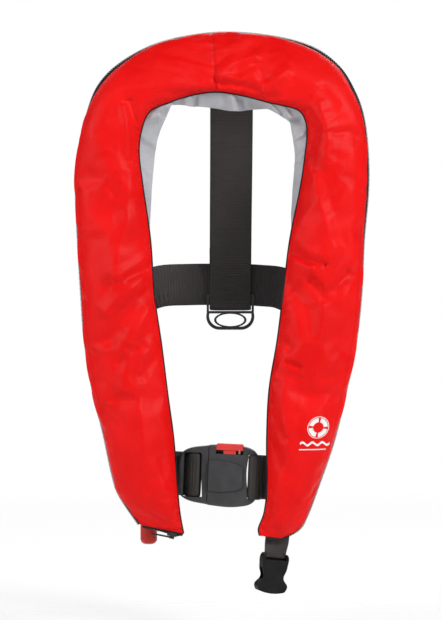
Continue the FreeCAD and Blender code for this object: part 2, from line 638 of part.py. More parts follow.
def buckle_webbing():
    """The belt's two ends: sewn round the housing's bar, and laced over the tongue's bar."""
    laced = [(-62, 5.4), (-52, 5.6), (-40, 5.8), (-37.0, 5.8), (-35.0, 3.4), (-32.8, -0.6),
             (-30.2, -3.2), (-26, -4.0), (-21.8, -3.0), (-19.6, 0.8), (-21.4, 4.6), (-26, 6.0),
             (-31, 7.0), (-37, 8.0), (-48, 8.0), (-64, 7.6)]
    sewn = [(59, 4.6), (48, 4.6), (45.4, 2.6), (43.9, -5.8), (40, -9.1), (35.6, -9.1), (32.6, -6.6),
            (31.8, -1.5), (31.9, 3.0), (33.4, 7.4), (38, 9.6), (48, 9.6), (61, 9.6)]
    return {
        "belt_adjuster_run": flat_ribbon(laced, BELT_WIDTH, BELT_THICK, BUCKLE_PLACE),
        "belt_sewn_end": flat_ribbon(sewn, BELT_WIDTH, 1.7, BUCKLE_PLACE),
    }


# ---------------------------------------------------------------- crotch strap
def crotch_parts():
    """The short strap sewn behind the right foot, and the socket half of its buckle."""
    turn = FreeCAD.Rotation(V(0, 0, 1), CROTCH_TWIST)
    lean = FreeCAD.Rotation(V(0, 1, 0), CROTCH_LEAN)
    hang = FreeCAD.Placement(CROTCH_AT, lean.multiply(turn))
    sewn_path = [V(59, lobe_back(59, -402, 12.5) + 1.4, -402), V(58, lobe_back(58, -418, 12.5) + 1.4, -418),
                 V(57.2, 18.2, -438), V(57, 17, -448.6)]
    sewn = ribbon(sewn_path, [V(0, 1, 0)] * 4, CROTCH_WIDTH, CROTCH_THICK)
    near, far = [], []
    for drop, share in ((0.5, 0.0), (6, 0.35), (12, 0.75), (17, 1.0), (21.5, 1.0)):
        wide = FreeCAD.Rotation(V(0, 0, 1), CROTCH_TWIST * share).multVec(V(1, 0, 0))
        deep = FreeCAD.Rotation(V(0, 0, 1), CROTCH_TWIST * share).multVec(V(0, 1, 0))
        at = CROTCH_AT + lean.multVec(V(0, 0, -drop))
        near.append([at + wide * (k * CROTCH_WIDTH / 2) + deep * (CROTCH_THICK / 2) for k in (-1, 1)])
        far.append([at + wide * (k * CROTCH_WIDTH / 2) - deep * (CROTCH_THICK / 2) for k in (-1, 1)])
    short = sheet_solid(near, far)

    side = [(12.6, -17.2), (14.4, -19.5), (14.7, -28), (13.6, -35), (11.7, -40.5), (12.2, -43.6),
            (14.6, -46.6), (14.9, -56.5)]
    edges = [Part.LineSegment(V(-12.6, -5.6, -17.2), V(12.6, -5.6, -17.2)).toShape()]
    for k in (1, -1):
        curve = Part.BSplineCurve()
        curve.interpolate([V(k * x, -5.6, z) for x, z in side])
        edges.append(curve.toShape())
    edges.insert(2, Part.Arc(V(-14.9, -5.6, -56.5), V(0, -5.6, -58.8), V(14.9, -5.6, -56.5)).toShape())
    socket = Part.Face(Part.Wire(edges)).extrude(V(0, 11.2, 0))
    socket = rounded(socket, 1.6, lambda p: abs(abs(p.y) - 5.6) < 0.05 and p.z > -56 and abs(p.x) > 11)
    socket = socket.cut(box(-12.3, 12.3, -3.5, 3.5, -62, -30.5))
    for k in (-1, 1):
        socket = socket.cut(box(min(k * 9.0, k * 18), max(k * 9.0, k * 18), -3.5, 3.5, -44.5, -32.5))
    socket = socket.cut(box(-12.7, 12.7, -8, 1.6, -23.6, -16))
    socket = socket.cut(box(-12.7, 12.7, -1.4, 8, -29.0, -26.2))
    return {
        "crotch_strap_sewn": sewn,
        "crotch_strap_end": short,
        "crotch_buckle_socket": placed(socket, hang),
    }


# ---------------------------------------------------------------- assembly
def main():
    os.makedirs("parts", exist_ok=True)
    for name in os.listdir("parts"):
        os.remove(os.path.join("parts", name))
    folded = bladder()
    stem = placed(Part.makeCylinder(8.4, 14, V(-26, 0, -14), V(1, 0, 0)), GAS_PLACE)
    folded = folded.cut(stem).cut(rod(ORAL_FOOT - ORAL_UP * 4, ORAL_FOOT + ORAL_UP * 60, 11.4))
    folded = folded.cut(placed(box(-16, 16, -12, 12, -32, 4), GAS_PLACE))
    folded = folded.cut(box(-88.5, -70, -10, 5, -393, -343))
    parts = {
        **cover_parts(),
        "inner_piping": piping(),
        "zip_tape": zip_strip(0.3, 1.3, OUTER_EDGE),
        "zip_chain": zip_strip(1.3, 2.7, 2.0),
        **zip_foot_parts(),
        "bladder": folded,
        **gas_parts(),
        "firing_lever": lever(),
        **pull_parts(),
        **oral_parts(),
        **belt_parts(),
        "back_strap": back_strap(),
        "back_ring": back_ring(),
        **{name: placed(solid, BUCKLE_PLACE) for name, solid in buckle_parts().items()},
        **buckle_webbing(),
        **crotch_parts(),
    }
    for name, solid in parts.items():
        solid.exportStep(os.path.join("parts", name + ".step"))
        print(name, len(solid.Solids), round(solid.Volume / 1000, 2), solid.isValid())


main()
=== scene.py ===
"""Looks for the inflatable life jacket: cloth cover, lining, zip, webbing and moulded parts, with its stage.

Lengths are in millimetres until a mesh is made, and then in metres, in the CAD's own frame: +X to the right
of someone facing the jacket, +Y towards the wearer's back, +Z up, and the origin at the back of the neck.
"""
import bpy
import json
import math
import numpy as np
from mathutils import Matrix, Vector, noise
from mathutils.bvhtree import BVHTree

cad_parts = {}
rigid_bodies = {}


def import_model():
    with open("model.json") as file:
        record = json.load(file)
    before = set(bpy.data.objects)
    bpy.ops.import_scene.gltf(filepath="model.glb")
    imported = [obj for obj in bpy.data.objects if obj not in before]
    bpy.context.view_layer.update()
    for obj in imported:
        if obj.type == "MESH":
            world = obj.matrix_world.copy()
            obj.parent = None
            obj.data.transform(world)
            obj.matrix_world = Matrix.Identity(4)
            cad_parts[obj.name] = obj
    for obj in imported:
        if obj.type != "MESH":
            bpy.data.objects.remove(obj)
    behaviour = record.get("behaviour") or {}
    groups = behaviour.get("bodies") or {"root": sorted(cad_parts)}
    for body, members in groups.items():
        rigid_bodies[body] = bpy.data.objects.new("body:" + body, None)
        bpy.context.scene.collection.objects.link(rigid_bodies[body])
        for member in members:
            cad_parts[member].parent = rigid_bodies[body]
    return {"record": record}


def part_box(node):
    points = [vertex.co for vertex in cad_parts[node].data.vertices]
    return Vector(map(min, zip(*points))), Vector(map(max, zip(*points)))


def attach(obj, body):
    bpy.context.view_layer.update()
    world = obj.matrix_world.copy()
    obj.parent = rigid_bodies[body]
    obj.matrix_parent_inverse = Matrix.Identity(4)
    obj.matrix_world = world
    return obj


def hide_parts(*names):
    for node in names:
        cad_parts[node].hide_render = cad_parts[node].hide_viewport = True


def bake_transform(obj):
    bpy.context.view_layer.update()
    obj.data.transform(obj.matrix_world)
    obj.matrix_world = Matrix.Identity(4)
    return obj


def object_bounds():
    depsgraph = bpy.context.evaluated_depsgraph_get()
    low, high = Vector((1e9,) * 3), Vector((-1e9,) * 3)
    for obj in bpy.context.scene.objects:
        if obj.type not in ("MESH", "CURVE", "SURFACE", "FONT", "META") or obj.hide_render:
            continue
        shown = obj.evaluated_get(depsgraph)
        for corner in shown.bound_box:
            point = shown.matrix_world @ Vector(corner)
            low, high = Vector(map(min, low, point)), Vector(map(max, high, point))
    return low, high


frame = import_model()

CAD_BOUNDS = [list(corner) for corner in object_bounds()]
MM = 0.001

# ---------------------------------------------------------------- driving dimensions
HALF_WIDTH = 150.0
LOBE_DROP = 450.0
FRONT_PUFF = 24.0
BACK_PUFF = 10.0
SWEEP = 22.0
COLLAR_LEAN = 0.45
BELLY = 6.0
BELT_WIDTH = 45.0
BELT_THICK = 2.0
SLOT_WEBBING = 46.0       # width of the belt where it is pressed flat in the buckle's slots
RIB_PITCH = 2.9
RIB_HEIGHT = 0.3
TOOTH_PITCH = 2.6
CAMERA_AWAY = 2600.0
VIEW_HEIGHT = 644.8       # what the camera sees from top to bottom, at the origin's depth
SENSOR = 36.0
PIPING_EDGE = 1.5         # depth of the front panel at the piping
FOOT_EDGE = 1.6           # half the zip wall's width at the feet
SIDE_EDGE = 3.9           # how much wider half the zip wall gets along the sides
CLEARANCE = 0.6           # between the cloth and the hard pieces that it covers

# Stations of the cover, from the foot of the left lobe over the collar to the foot of the right one: inner
# edge x, z; outer edge x, z; share of the full puff; how far the zip shows outside the front panel.
STATIONS = [
    (-41.5, -444, -88, -435.1, 0.02, 3.0),
    (-45.5, -421.5, -107.5, -406.5, 0.55, 1.2),
    (-48.2, -393.5, -115, -386.5, 0.85, 0.3),
    (-51.7, -346, -125.4, -339, 1.0, 0.0),
    (-58, -299, -136, -297, 1.0, 0.0),
    (-64.5, -247, -144.8, -244.5, 1.0, 0.0),
    (-72, -195, -148.5, -195, 1.0, 0.0),
    (-76, -138, -152, -137.5, 1.0, 0.0),
    (-84, -81.5, -154, -81, 1.0, 0.0),
    (-88, -46.5, -150.6, -41.5, 1.0, 0.3),
    (-85, -22.5, -143, -8.5, 1.0, 1.0),
    (-77, -4.5, -130.5, 24.5, 0.95, 5.0),
    (-59, 4.5, -106.8, 49.2, 0.9, 5.4),
    (-33, 13, -67.5, 69.8, 0.85, 2.6),
    (-7.5, 16.5, -12.5, 80.5, 0.8, 0.4),
    (18.5, 13, 42, 78.6, 0.85, 1.8),
    (48, 5.5, 91, 67.2, 0.9, 4.8),
    (77, -1.5, 121.5, 45.5, 0.95, 4.2),
    (86, -12.5, 138, 18, 1.0, 4.0),
    (88, -28.5, 147, -8.5, 1.0, 3.0),
    (86, -49.5, 151.5, -43.5, 1.0, 2.8),
    (81, -83.5, 152, -85, 1.0, 2.6),
    (70, -138, 147.5, -137.5, 1.0, 1.2),
    (63.5, -190, 145, -192, 1.0, 0.5),
    (57, -242, 139.2, -244.5, 1.0, 0.6),
    (48.5, -294, 128.6, -296.5, 1.0, 0.7),
    (46, -346, 116, -348, 1.0, 0.7),
    (46.3, -393.5, 99.5, -395.5, 0.85, 0.8),
    (43.5, -421.5, 88.5, -424.5, 0.55, 1.2),
    (37.5, -438.5, 79.5, -440, 0.25, 2.0),
    (38.5, -446.5, 62, -449.5, 0.02, 2.4),
]
MIDDLE = 14
LAST = len(STATIONS) - 1

# The lining's folded edge round the neck: station, x, z and how far it lies behind the seam.
LINING_EDGE = [
    (5.0, -64.5, -247, 3), (6.0, -71, -196, 5), (7.0, -73, -138, 9), (8.0, -71.5, -82, 12),
    (9.0, -69, -50, 13), (9.6, -66.6, -34, 12), (10.0, -63, -23, 14), (10.7, -57.5, -11, 11),
    (11.6, -52, 1.4, 8), (12.1, -45, 2.4, 12), (12.55, -38.5, 1, 9), (12.75, -33, 0.6, 14),
    (13.0, -27, 0.4, 12), (13.6, -16, -0.6, 13), (14.3, 4, -4, 13), (14.65, 11.5, -5.4, 8),
    (14.9, 16, -4.6, 14), (15.2, 25, -3.6, 12), (15.9, 46, -3, 12), (16.3, 55, -7.6, 9),
    (16.7, 61, -11, 14), (17.4, 68.5, -16.5, 10), (18.4, 70, -30, 14), (19.2, 72.5, -42, 11),
    (20.0, 73, -54, 13), (21.0, 70.5, -84, 12), (22.0, 68, -138, 8), (23.0, 63.5, -190, 4),
    (24.0, 57, -242, 3),
]

# Folds in the front panels: the crest's points in x, z; its height, less than 0 for a valley; and how far
# the cloth takes to fall away to the left and to the right of someone who walks along the points.
FOLDS = [
    ([(-95, -66), (-99, -124), (-112, -164), (-114, -176)], 2.6, 24, 16),
    ([(-72, -152), (-92, -168), (-113, -177)], 1.8, 7, 9),
    ([(-72, -163), (-100, -178)], -1.6, 6, 6),
    ([(-83, -181), (-104, -196), (-122, -214)], 2.4, 9, 13),
    ([(-80, -190), (-101, -214), (-119, -244)], -2.2, 13, 9),
    ([(-75, -210), (-98, -244)], 2.2, 10, 9),
    ([(-84, -246), (-108, -268)], -2.0, 8, 8),
    ([(-99, -256), (-105, -294)], 1.2, 9, 9),
    ([(-72, -262), (-84, -282)], -1.1, 5, 6),
    ([(-93, -290), (-86, -308), (-80, -360), (-60, -391), (-51, -421)], 2.4, 16, 20),
    ([(-64, -366), (-56, -398)], -1.0, 5, 5),
    ([(-66, -180), (-72, -192)], 1.0, 4, 4),
    ([(-98, 6), (-93, -8), (-90, -26)], -2.6, 6, 7),
    ([(-104, 0), (-99, -26), (-97, -52)], 1.4, 8, 6),
    ([(-28, 14), (-12, 24)], 1.0, 6, 6),
    ([(-70, 52), (-50, 30)], 0.9, 14, 14),
    ([(-130, -30), (-118, -70)], 1.2, 16, 18),
    ([(-4, 33), (12, 46), (34, 54)], 2.4, 9, 8),
    ([(-3, 24), (16, 22), (38, 17)], -2.4, 7, 4),
    ([(-4, 27), (6, 30), (20, 27)], 1.4, 5, 4),
    ([(40, 16), (52, 24), (66, 38)], 2.2, 9, 10),
    ([(34, 46), (44, 28)], -1.8, 7, 7),
    ([(70, 48), (96, 22)], 1.2, 14, 12),
    ([(84, -5), (95, -24), (89, -48)], -2.8, 8, 7),
    ([(100, 4), (108, -28), (104, -60)], 1.8, 12, 9),
    ([(93, -70), (99, -100), (105, -117), (115, -147), (107, -161)], 3.0, 11, 26),
    ([(70, -152), (88, -160), (106, -165)], -2.6, 9, 3),
    ([(72, -160), (92, -168)], 1.6, 4, 10),
    ([(95, -175), (107, -186), (108, -195)], 1.4, 10, 6),
    ([(90, -182), (104, -196), (116, -191), (130, -172)], -2.6, 8, 9),
    ([(74, -192), (88, -212), (90, -236)], -2.2, 14, 12),
    ([(104, -206), (101, -236)], 1.4, 12, 9),
    ([(62, -243), (70, -252)], -1.6, 7, 6),
    ([(65, -266), (80, -272)], -2.2, 5, 3),
    ([(66, -271), (82, -277)], 1.2, 3, 8),
    ([(136, -44), (137, -120), (131, -190), (124, -244), (107, -304), (98, -340)], 1.8, 14, 22),
    ([(64, -284), (61, -309), (67, -361), (54, -400)], 2.2, 14, 16),
    ([(52, -318), (64, -346)], -1.4, 5, 6),
    ([(50, -346), (60, -372)], -1.4, 5, 6),
    ([(48, -402), (46, -426), (41, -440)], -1.8, 6, 5),
    ([(56, -404), (60, -436)], 1.2, 8, 8),
]
CREST_ROUND = 1.6          # mm, how softly a fold turns at its crest
FOLD_SCALE = 1.7           # how much the folds stand out in all

# Pleats in the strip of lining that shows round the neck, given like the folds.
PLEAT_SCALE = 1.9
PLEATS = [
    ([(-84, -14), (-66, -9)], 2.0, 3, 5), ([(-82, -9), (-52, 2)], 2.4, 3, 6),
    ([(-76, -2), (-56, 3)], 1.6, 3, 4), ([(-86, -30), (-70, -38)], 1.4, 4, 5),
    ([(-80, -62), (-70, -75)], 1.2, 5, 5), ([(-34, 16), (-39, 3)], 2.6, 3, 5),
    ([(-29, 14), (-30, 0)], -2.0, 3, 3), ([(8, 16), (12, -4)], 2.6, 3, 3),
    ([(16, 14), (20, -4)], -1.8, 3, 5), ([(46, 6), (58, -9)], 2.2, 3, 5),
    ([(62, 3), (70, -12)], 2.0, 3, 4), ([(88, -12), (66, -15)], -2.6, 4, 3),
    ([(88, -26), (70, -34)], 1.8, 3, 5), ([(86, -48), (70, -58)], 1.4, 4, 5),
]


# ---------------------------------------------------------------- geometry helpers
def seam_depth(x, z):
    """Y of the cover's seam: swept back at the sides, leaning back at the collar and at the feet."""
    soft = 25.0
    if z <= -soft:
        rise = 0.0
    elif z < soft:
        rise = (z + soft) ** 2 / (4 * soft)
    else:
        rise = z
    belly = BELLY * (min(z, 0.0) / LOBE_DROP) ** 2
    return SWEEP * (x / HALF_WIDTH) ** 2 + COLLAR_LEAN * rise + belly


def crown(share):
    """Height of a puffed panel across its width, 0 at both edges and 1 in the middle."""
    return math.sqrt(max(0.0, 1 - abs(2 * share - 1) ** 2.6))


def catmull(rows, t):
    """The value at t, counted in rows, on a Catmull-Rom curve through the rows."""
    i = min(int(t), len(rows) - 2)
    f = t - i
    a, b, c, d = (rows[max(0, i - 1)], rows[i], rows[i + 1], rows[min(len(rows) - 1, i + 2)])
    return [0.5 * (2 * q + (r - p) * f + (2 * p - 5 * q + 4 * r - s) * f * f
                   + (3 * q - p - 3 * r + s) * f ** 3) for p, q, r, s in zip(a, b, c, d)]


def station(t):
    return catmull(STATIONS, t)


def zip_half(s):
    """Half the width of the zip wall at a station."""
    return FOOT_EDGE + SIDE_EDGE * min(1.0, s[4] * 1.4)


def panel_width(s):
    return math.hypot(s[2] - s[0], s[3] - s[1])


def panel_at(s, share):
    """The place in x, z at a share of the way from a station's inner edge to its outer edge."""
    return s[0] + (s[2] - s[0]) * share, s[1] + (s[3] - s[1]) * share


def across(s, share, depth):
    """The point at a share of a station's width, a depth behind the seam."""
    x, z = panel_at(s, share)
    return Vector((x, seam_depth(x, z) + depth, z))


def outward(t):
    """The direction in the X-Z plane out of the cover's outer edge."""
    a, b = station(max(0, t - 0.05)), station(min(LAST, t + 0.05))
    ahead = Vector((b[2] - a[2], 0, b[3] - a[3])).normalized()
    return Vector((-ahead.z, 0, ahead.x))


def linear(table, t):
    """The rest of the row at t in a table whose rows start with t, joined by straight lines."""
    if t <= table[0][0]:
        return table[0][1:]
    for a, b in zip(table, table[1:]):
        if t <= b[0]:
            f = (t - a[0]) / (b[0] - a[0])
            return [p + (q - p) * f for p, q in zip(a[1:], b[1:])]
    return table[-1][1:]


def piece(name, points, faces, material, smooth=True):
    """A mesh object from points in millimetres."""
    mesh = bpy.data.meshes.new(name)
    mesh.from_pydata([tuple(c * MM for c in p) for p in points], [], faces)
    mesh.materials.append(material)
    mesh.update()
    if smooth:
        mesh.shade_smooth()
    made = bpy.data.objects.new(name, mesh)
    bpy.context.scene.collection.objects.link(made)
    return made


def grid_faces(rows, columns, closed=False, flip=False):
    faces = []
    last = columns if closed else columns - 1
    for i in range(rows - 1):
        for j in range(last):
            k = (j + 1) % columns
            quad = (i * columns + j, i * columns + k, (i + 1) * columns + k, (i + 1) * columns + j)
            faces.append(quad[::-1] if flip else quad)
    return faces


def tube_faces(rows, sides):
    """The faces of a tube of rings, with both its ends closed."""
    ends = [tuple(range(sides))[::-1], tuple((rows - 1) * sides + k for k in range(sides))]
    return grid_faces(rows, sides, closed=True) + ends


def add_faces(faces, more, base):
    faces.extend(tuple(base + v for v in face) for face in more)


def fitted(made, body, slot, *nodes):
    """Let a piece ride on a body in place of the CAD nodes; the slot is not used."""
    if body:
        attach(made, body)
    if nodes:
        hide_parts(*nodes)
    return made


def settled(made):
    """The object's mesh with its modifiers applied, as the object's own mesh."""
    graph = bpy.context.evaluated_depsgraph_get()
    mesh = bpy.data.meshes.new_from_object(made.evaluated_get(graph))
    made.modifiers.clear()
    made.data = mesh
    return made


def refined(made, levels):
    sub = made.modifiers.new("subdivision", "SUBSURF")
    sub.levels = sub.render_levels = levels
    sub.boundary_smooth = "PRESERVE_CORNERS"
    settled(made)
    made.data.shade_smooth()
    return made


def coordinates(made):
    found = np.empty(len(made.data.vertices) * 3)
    made.data.vertices.foreach_get("co", found)
    return found.reshape(-1, 3)


def put_coordinates(made, values):
    made.data.vertices.foreach_set("co", values.ravel())
    made.data.update()


# ---------------------------------------------------------------- materials
def shader(name, **sockets):
    """A material with a Principled shader; its sockets are set by name, with _ for a space."""
    made = bpy.data.materials.new(name)
    made.use_nodes = True
    lit = made.node_tree.nodes["Principled BSDF"]
    for key, value in sockets.items():
        lit.inputs[key.replace("_", " ")].default_value = value
    return made, made.node_tree, lit


def add(tree, kind, **settings):
    node = tree.nodes.new("ShaderNode" + kind)
    for key, value in settings.items():
        if hasattr(node, key):
            setattr(node, key, value)
        else:
            node.inputs[key.replace("_", " ")].default_value = value
    return node


def tinted(tree, lit, low, high, scale):
    """Base colour that wanders between two colours."""
    where = add(tree, "TexCoord")
    cloud = add(tree, "TexNoise", Scale=scale, Detail=4.0, Roughness=0.6)
    ramp = add(tree, "ValToRGB")
    for stop, position, colour in zip(ramp.color_ramp.elements, (0.32, 0.68), (low, high)):
        stop.position = position
        stop.color = (*colour, 1)
    tree.links.new(where.outputs["Object"], cloud.inputs["Vector"])
    tree.links.new(cloud.outputs["Fac"], ramp.inputs["Fac"])
    tree.links.new(ramp.outputs["Color"], lit.inputs["Base Color"])
    return where, cloud


def roughened(tree, lit, source, low, high):
    """Roughness that follows a source between two values."""
    spread = add(tree, "MapRange", To_Min=low, To_Max=high)
    tree.links.new(source, spread.inputs["Value"])
    tree.links.new(spread.outputs["Result"], lit.inputs["Roughness"])


def bumped(tree, lit, heights):
    """Chained bumps, each given as (height output, distance in millimetres, strength)."""
    last = None
    for height, distance, strength in heights:
        bump = add(tree, "Bump", Strength=strength, Distance=distance * MM)
        tree.links.new(height, bump.inputs["Height"])
        if last:
            tree.links.new(last.outputs["Normal"], bump.inputs["Normal"])
        last = bump
    tree.links.new(last.outputs["Normal"], lit.inputs["Normal"])


def weave(tree, where, pitch):
    """A plain weave: two sets of threads that pass over and under each other."""
    both = add(tree, "Math", operation="MULTIPLY")
    for k, axis in enumerate("XZ"):
        wave = add(tree, "TexWave", wave_type="BANDS", bands_direction=axis,
                   Scale=math.pi / (20 * pitch * MM), Distortion=0.4)
        tree.links.new(where.outputs["Object"], wave.inputs["Vector"])
        tree.links.new(wave.outputs["Fac"], both.inputs[k])
    return both.outputs["Value"]


def cloth_material(name, low, high, roughness, sheen, creases):
    made, tree, lit = shader(name, Sheen_Weight=sheen, Sheen_Roughness=0.4, Specular_IOR_Level=0.13)
    where, cloud = tinted(tree, lit, low, high, 24.0)
    soft = add(tree, "TexNoise", Scale=34.0, Detail=3.0, Roughness=0.55, Distortion=0.8)
    fine = add(tree, "TexNoise", Scale=900.0, Detail=2.0)
    for tex in (soft, fine):
        tree.links.new(where.outputs["Object"], tex.inputs["Vector"])
    roughened(tree, lit, cloud.outputs["Fac"], roughness - 0.06, roughness + 0.08)
    bumped(tree, lit, [(soft.outputs["Fac"], 2.2, creases), (weave(tree, where, 0.7), 0.12, 0.5),
                       (fine.outputs["Fac"], 0.2, 0.35)])
    return made


def webbing_material():
    made, tree, lit = shader("webbing", Sheen_Weight=0.15, Sheen_Roughness=0.45,
                             Sheen_Tint=(0.55, 0.5, 0.45, 1))
    where, cloud = tinted(tree, lit, (0.014, 0.0115, 0.0105), (0.024, 0.019, 0.017), 60.0)
    roughened(tree, lit, cloud.outputs["Fac"], 0.52, 0.72)
    fine = add(tree, "TexNoise", Scale=1500.0, Detail=2.0)
    tree.links.new(where.outputs["Object"], fine.inputs["Vector"])
    bumped(tree, lit, [(weave(tree, where, 0.9), 0.16, 0.6), (fine.outputs["Fac"], 0.1, 0.4)])
    return made


def moulded_material(name, low, high, roughness, specular=0.5):
    made, tree, lit = shader(name, Specular_IOR_Level=specular)
    where, cloud = tinted(tree, lit, low, high, 80.0)
    fine = add(tree, "TexNoise", Scale=2600.0, Detail=2.0)
    flow = add(tree, "TexNoise", Scale=120.0, Detail=3.0)
    for tex in (fine, flow):
        tree.links.new(where.outputs["Object"], tex.inputs["Vector"])
    roughened(tree, lit, cloud.outputs["Fac"], roughness - 0.07, roughness + 0.09)
    bumped(tree, lit, [(fine.outputs["Fac"], 0.06, 0.25), (flow.outputs["Fac"], 0.25, 0.12)])
    return made


def metal_material(name, colour, roughness):
    made, tree, lit = shader(name, Metallic=1.0)
    _, cloud = tinted(tree, lit, [c * 0.86 for c in colour], colour, 90.0)
    roughened(tree, lit, cloud.outputs["Fac"], roughness - 0.05, roughness + 0.12)
    return made


def clear_red_material():
    made, tree, lit = shader("handle_plastic", Coat_Weight=0.15, Specular_IOR_Level=0.3,
                             Subsurface_Weight=0.2, Subsurface_Radius=(0.006, 0.001, 0.001))
    _, cloud = tinted(tree, lit, (0.42, 0.008, 0.003), (0.52, 0.014, 0.006), 60.0)
    roughened(tree, lit, cloud.outputs["Fac"], 0.26, 0.4)
    return made


RED = cloth_material("red_cloth", (0.70, 0.003, 0.003), (0.80, 0.005, 0.005), 0.48, 0.0, 0.5)
GREY = cloth_material("lining", (0.36, 0.375, 0.40), (0.46, 0.475, 0.50), 0.55, 0.25, 0.6)
BLACK_TAPE = cloth_material("binding", (0.012, 0.012, 0.013), (0.028, 0.028, 0.03), 0.7, 0.1, 0.3)
WEBBING = webbing_material()
ZIP_PLASTIC = moulded_material("zip_plastic", (0.010, 0.010, 0.011), (0.022, 0.022, 0.024), 0.32)
BLACK_PLASTIC = moulded_material("black_plastic", (0.028, 0.029, 0.031), (0.042, 0.043, 0.046), 0.42)
RED_PLASTIC = moulded_material("red_plastic", (0.62, 0.035, 0.028), (0.72, 0.05, 0.038), 0.36)
CLEAR_RED = clear_red_material()
SOCKET_PLASTIC = moulded_material("socket_plastic", (0.006, 0.006, 0.006), (0.011, 0.011, 0.011), 0.42, 0.16)
CORD = cloth_material("cord", (0.55, 0.02, 0.018), (0.68, 0.04, 0.03), 0.6, 0.1, 0.3)
YELLOW = cloth_material("bladder_cloth", (0.80, 0.58, 0.03), (0.90, 0.68, 0.05), 0.4, 0.1, 0.6)
STEEL = metal_material("steel", (0.62, 0.62, 0.63), 0.28)
ZINC = metal_material("cylinder_steel", (0.70, 0.71, 0.69), 0.36)
BRASS = metal_material("brass", (0.76, 0.60, 0.30), 0.3)
RUBBER = moulded_material("black_rubber", (0.014, 0.014, 0.014), (0.026, 0.026, 0.026), 0.6)
WHITE_PLASTIC = moulded_material("white_plastic", (0.78, 0.78, 0.75), (0.86, 0.86, 0.84), 0.4)
ORANGE = moulded_material("whistle_plastic", (0.78, 0.26, 0.03), (0.88, 0.34, 0.05), 0.34)
RED_THREAD = cloth_material("red_thread", (0.50, 0.006, 0.008), (0.60, 0.01, 0.012), 0.6, 0.05, 0.3)
WHITE_PRINT = moulded_material("white_print", (0.80, 0.79, 0.78), (0.88, 0.87, 0.86), 0.5)

NODE_MATERIALS = {
    "red_cloth": RED, "lining": GREY, "binding": BLACK_TAPE, "zip_plastic": ZIP_PLASTIC,
    "webbing": WEBBING, "black_plastic": BLACK_PLASTIC, "red_plastic": RED_PLASTIC,
    "handle_plastic": CLEAR_RED, "bladder_cloth": YELLOW, "cylinder_steel": ZINC, "steel": STEEL,
    "brass": BRASS, "white_plastic": WHITE_PLASTIC, "black_rubber": RUBBER, "cord": CORD,
    "whistle_plastic": ORANGE,
}


def dress_cad_nodes():
    """Give every carried-over CAD node the procedural material of its slot."""
    for part in frame["record"]["subparts"]:
        slots = bpy.data.objects[part["node"]].data.materials
        slots.clear()
        own = SOCKET_PLASTIC if part["node"] == "crotch_buckle_socket" else None
        slots.append(own or NODE_MATERIALS[part["material_slot"]])


# ---------------------------------------------------------------- cover cloth
ROWS_PER_STATION = 8
FRONT_COLUMNS = 18
BACK_COLUMNS = 16
FOLD_COLUMNS = 4           # columns of the lining between the piping and its folded edge
CLOTH_FRAMES = 22


def retreat(shows):
    """How far the front panel's edge stays back from the zip where the zip shows."""
    return max(0.0, shows - 0.6) * 0.95


def front_row(t):
    """A front panel's points across one row, closer together towards the seams."""
    s = station(t)
    narrower = 1 - retreat(s[5]) / panel_width(s)
    row = []
    for j in range(FRONT_COLUMNS + 1):
        swing = math.cos(math.pi * j / FRONT_COLUMNS)
        share = 0.5 - 0.5 * swing * (0.55 + 0.45 * abs(swing))
        depth = PIPING_EDGE + (zip_half(s) - PIPING_EDGE) * share + FRONT_PUFF * s[4] * crown(share) * 0.87
        row.append(across(s, share * narrower, -depth))
    return row


def back_row(t):
    """A lining panel's points across one row: in to its folded edge, then out to the zip."""
    s = station(t)
    fold_x, fold_z, fold_back = linear(LINING_EDGE, t)
    if t <= LINING_EDGE[0][0] or t >= LINING_EDGE[-1][0]:
        fold_x, fold_z, fold_back = s[0], s[1], 3.0 * min(1.0, s[4] * 1.5)
    lining = (fold_x, fold_z, s[2], s[3])
    start, fold = across(s, 0, -0.4), across(lining, 0, fold_back)
    row = [start.lerp(fold, k / FOLD_COLUMNS) for k in range(FOLD_COLUMNS)]
    for j in range(BACK_COLUMNS + 1):
        share = j / BACK_COLUMNS
        edge = fold_back * (1 - share) ** 2 + zip_half(s) * share
        row.append(across(lining, share, edge + BACK_PUFF * s[4] * crown(share) * 0.9))
    return row


def cloth_run(made, pinned, pressure, growth, reach):
    """Let a panel blow up and crease as cloth held along its seams, no further than reach from its start."""
    start = coordinates(made)
    group = made.vertex_groups.new(name="pinned")
    for index, weight in pinned.items():
        group.add([index], weight, "REPLACE")
    cloth = made.modifiers.new("cloth", "CLOTH")
    own = cloth.settings
    own.quality = 6
    own.mass = 0.2
    own.tension_stiffness = own.compression_stiffness = 18.0
    own.shear_stiffness = 8.0
    own.bending_stiffness = 0.35
    own.tension_damping = own.compression_damping = own.shear_damping = 8.0
    own.air_damping = 4.0
    own.use_pressure = True
    own.uniform_pressure_force = pressure
    own.shrink_min = -growth
    own.vertex_group_mass = "pinned"
    own.effector_weights.gravity = 0.0
    cloth.collision_settings.use_collision = False
    cloth.point_cache.frame_start = 1
    cloth.point_cache.frame_end = CLOTH_FRAMES
    scene = bpy.context.scene
    for step in range(1, CLOTH_FRAMES + 1):
        scene.frame_set(step)
        bpy.context.view_layer.update()
    graph = bpy.context.evaluated_depsgraph_get()
    mesh = made.evaluated_get(graph).to_mesh()
    end = np.empty(len(mesh.vertices) * 3)
    mesh.vertices.foreach_get("co", end)
    moved = end.reshape(-1, 3) - start
    made.evaluated_get(graph).to_mesh_clear()
    far = np.linalg.norm(moved, axis=1)
    cap = reach * MM
    scale = np.where(far > 1e-9, cap * np.tanh(far / cap) / np.maximum(far, 1e-9), 1.0)
    made.modifiers.clear()
    made.vertex_groups.clear()
    put_coordinates(made, start + moved * scale[:, None])
    scene.frame_set(1)


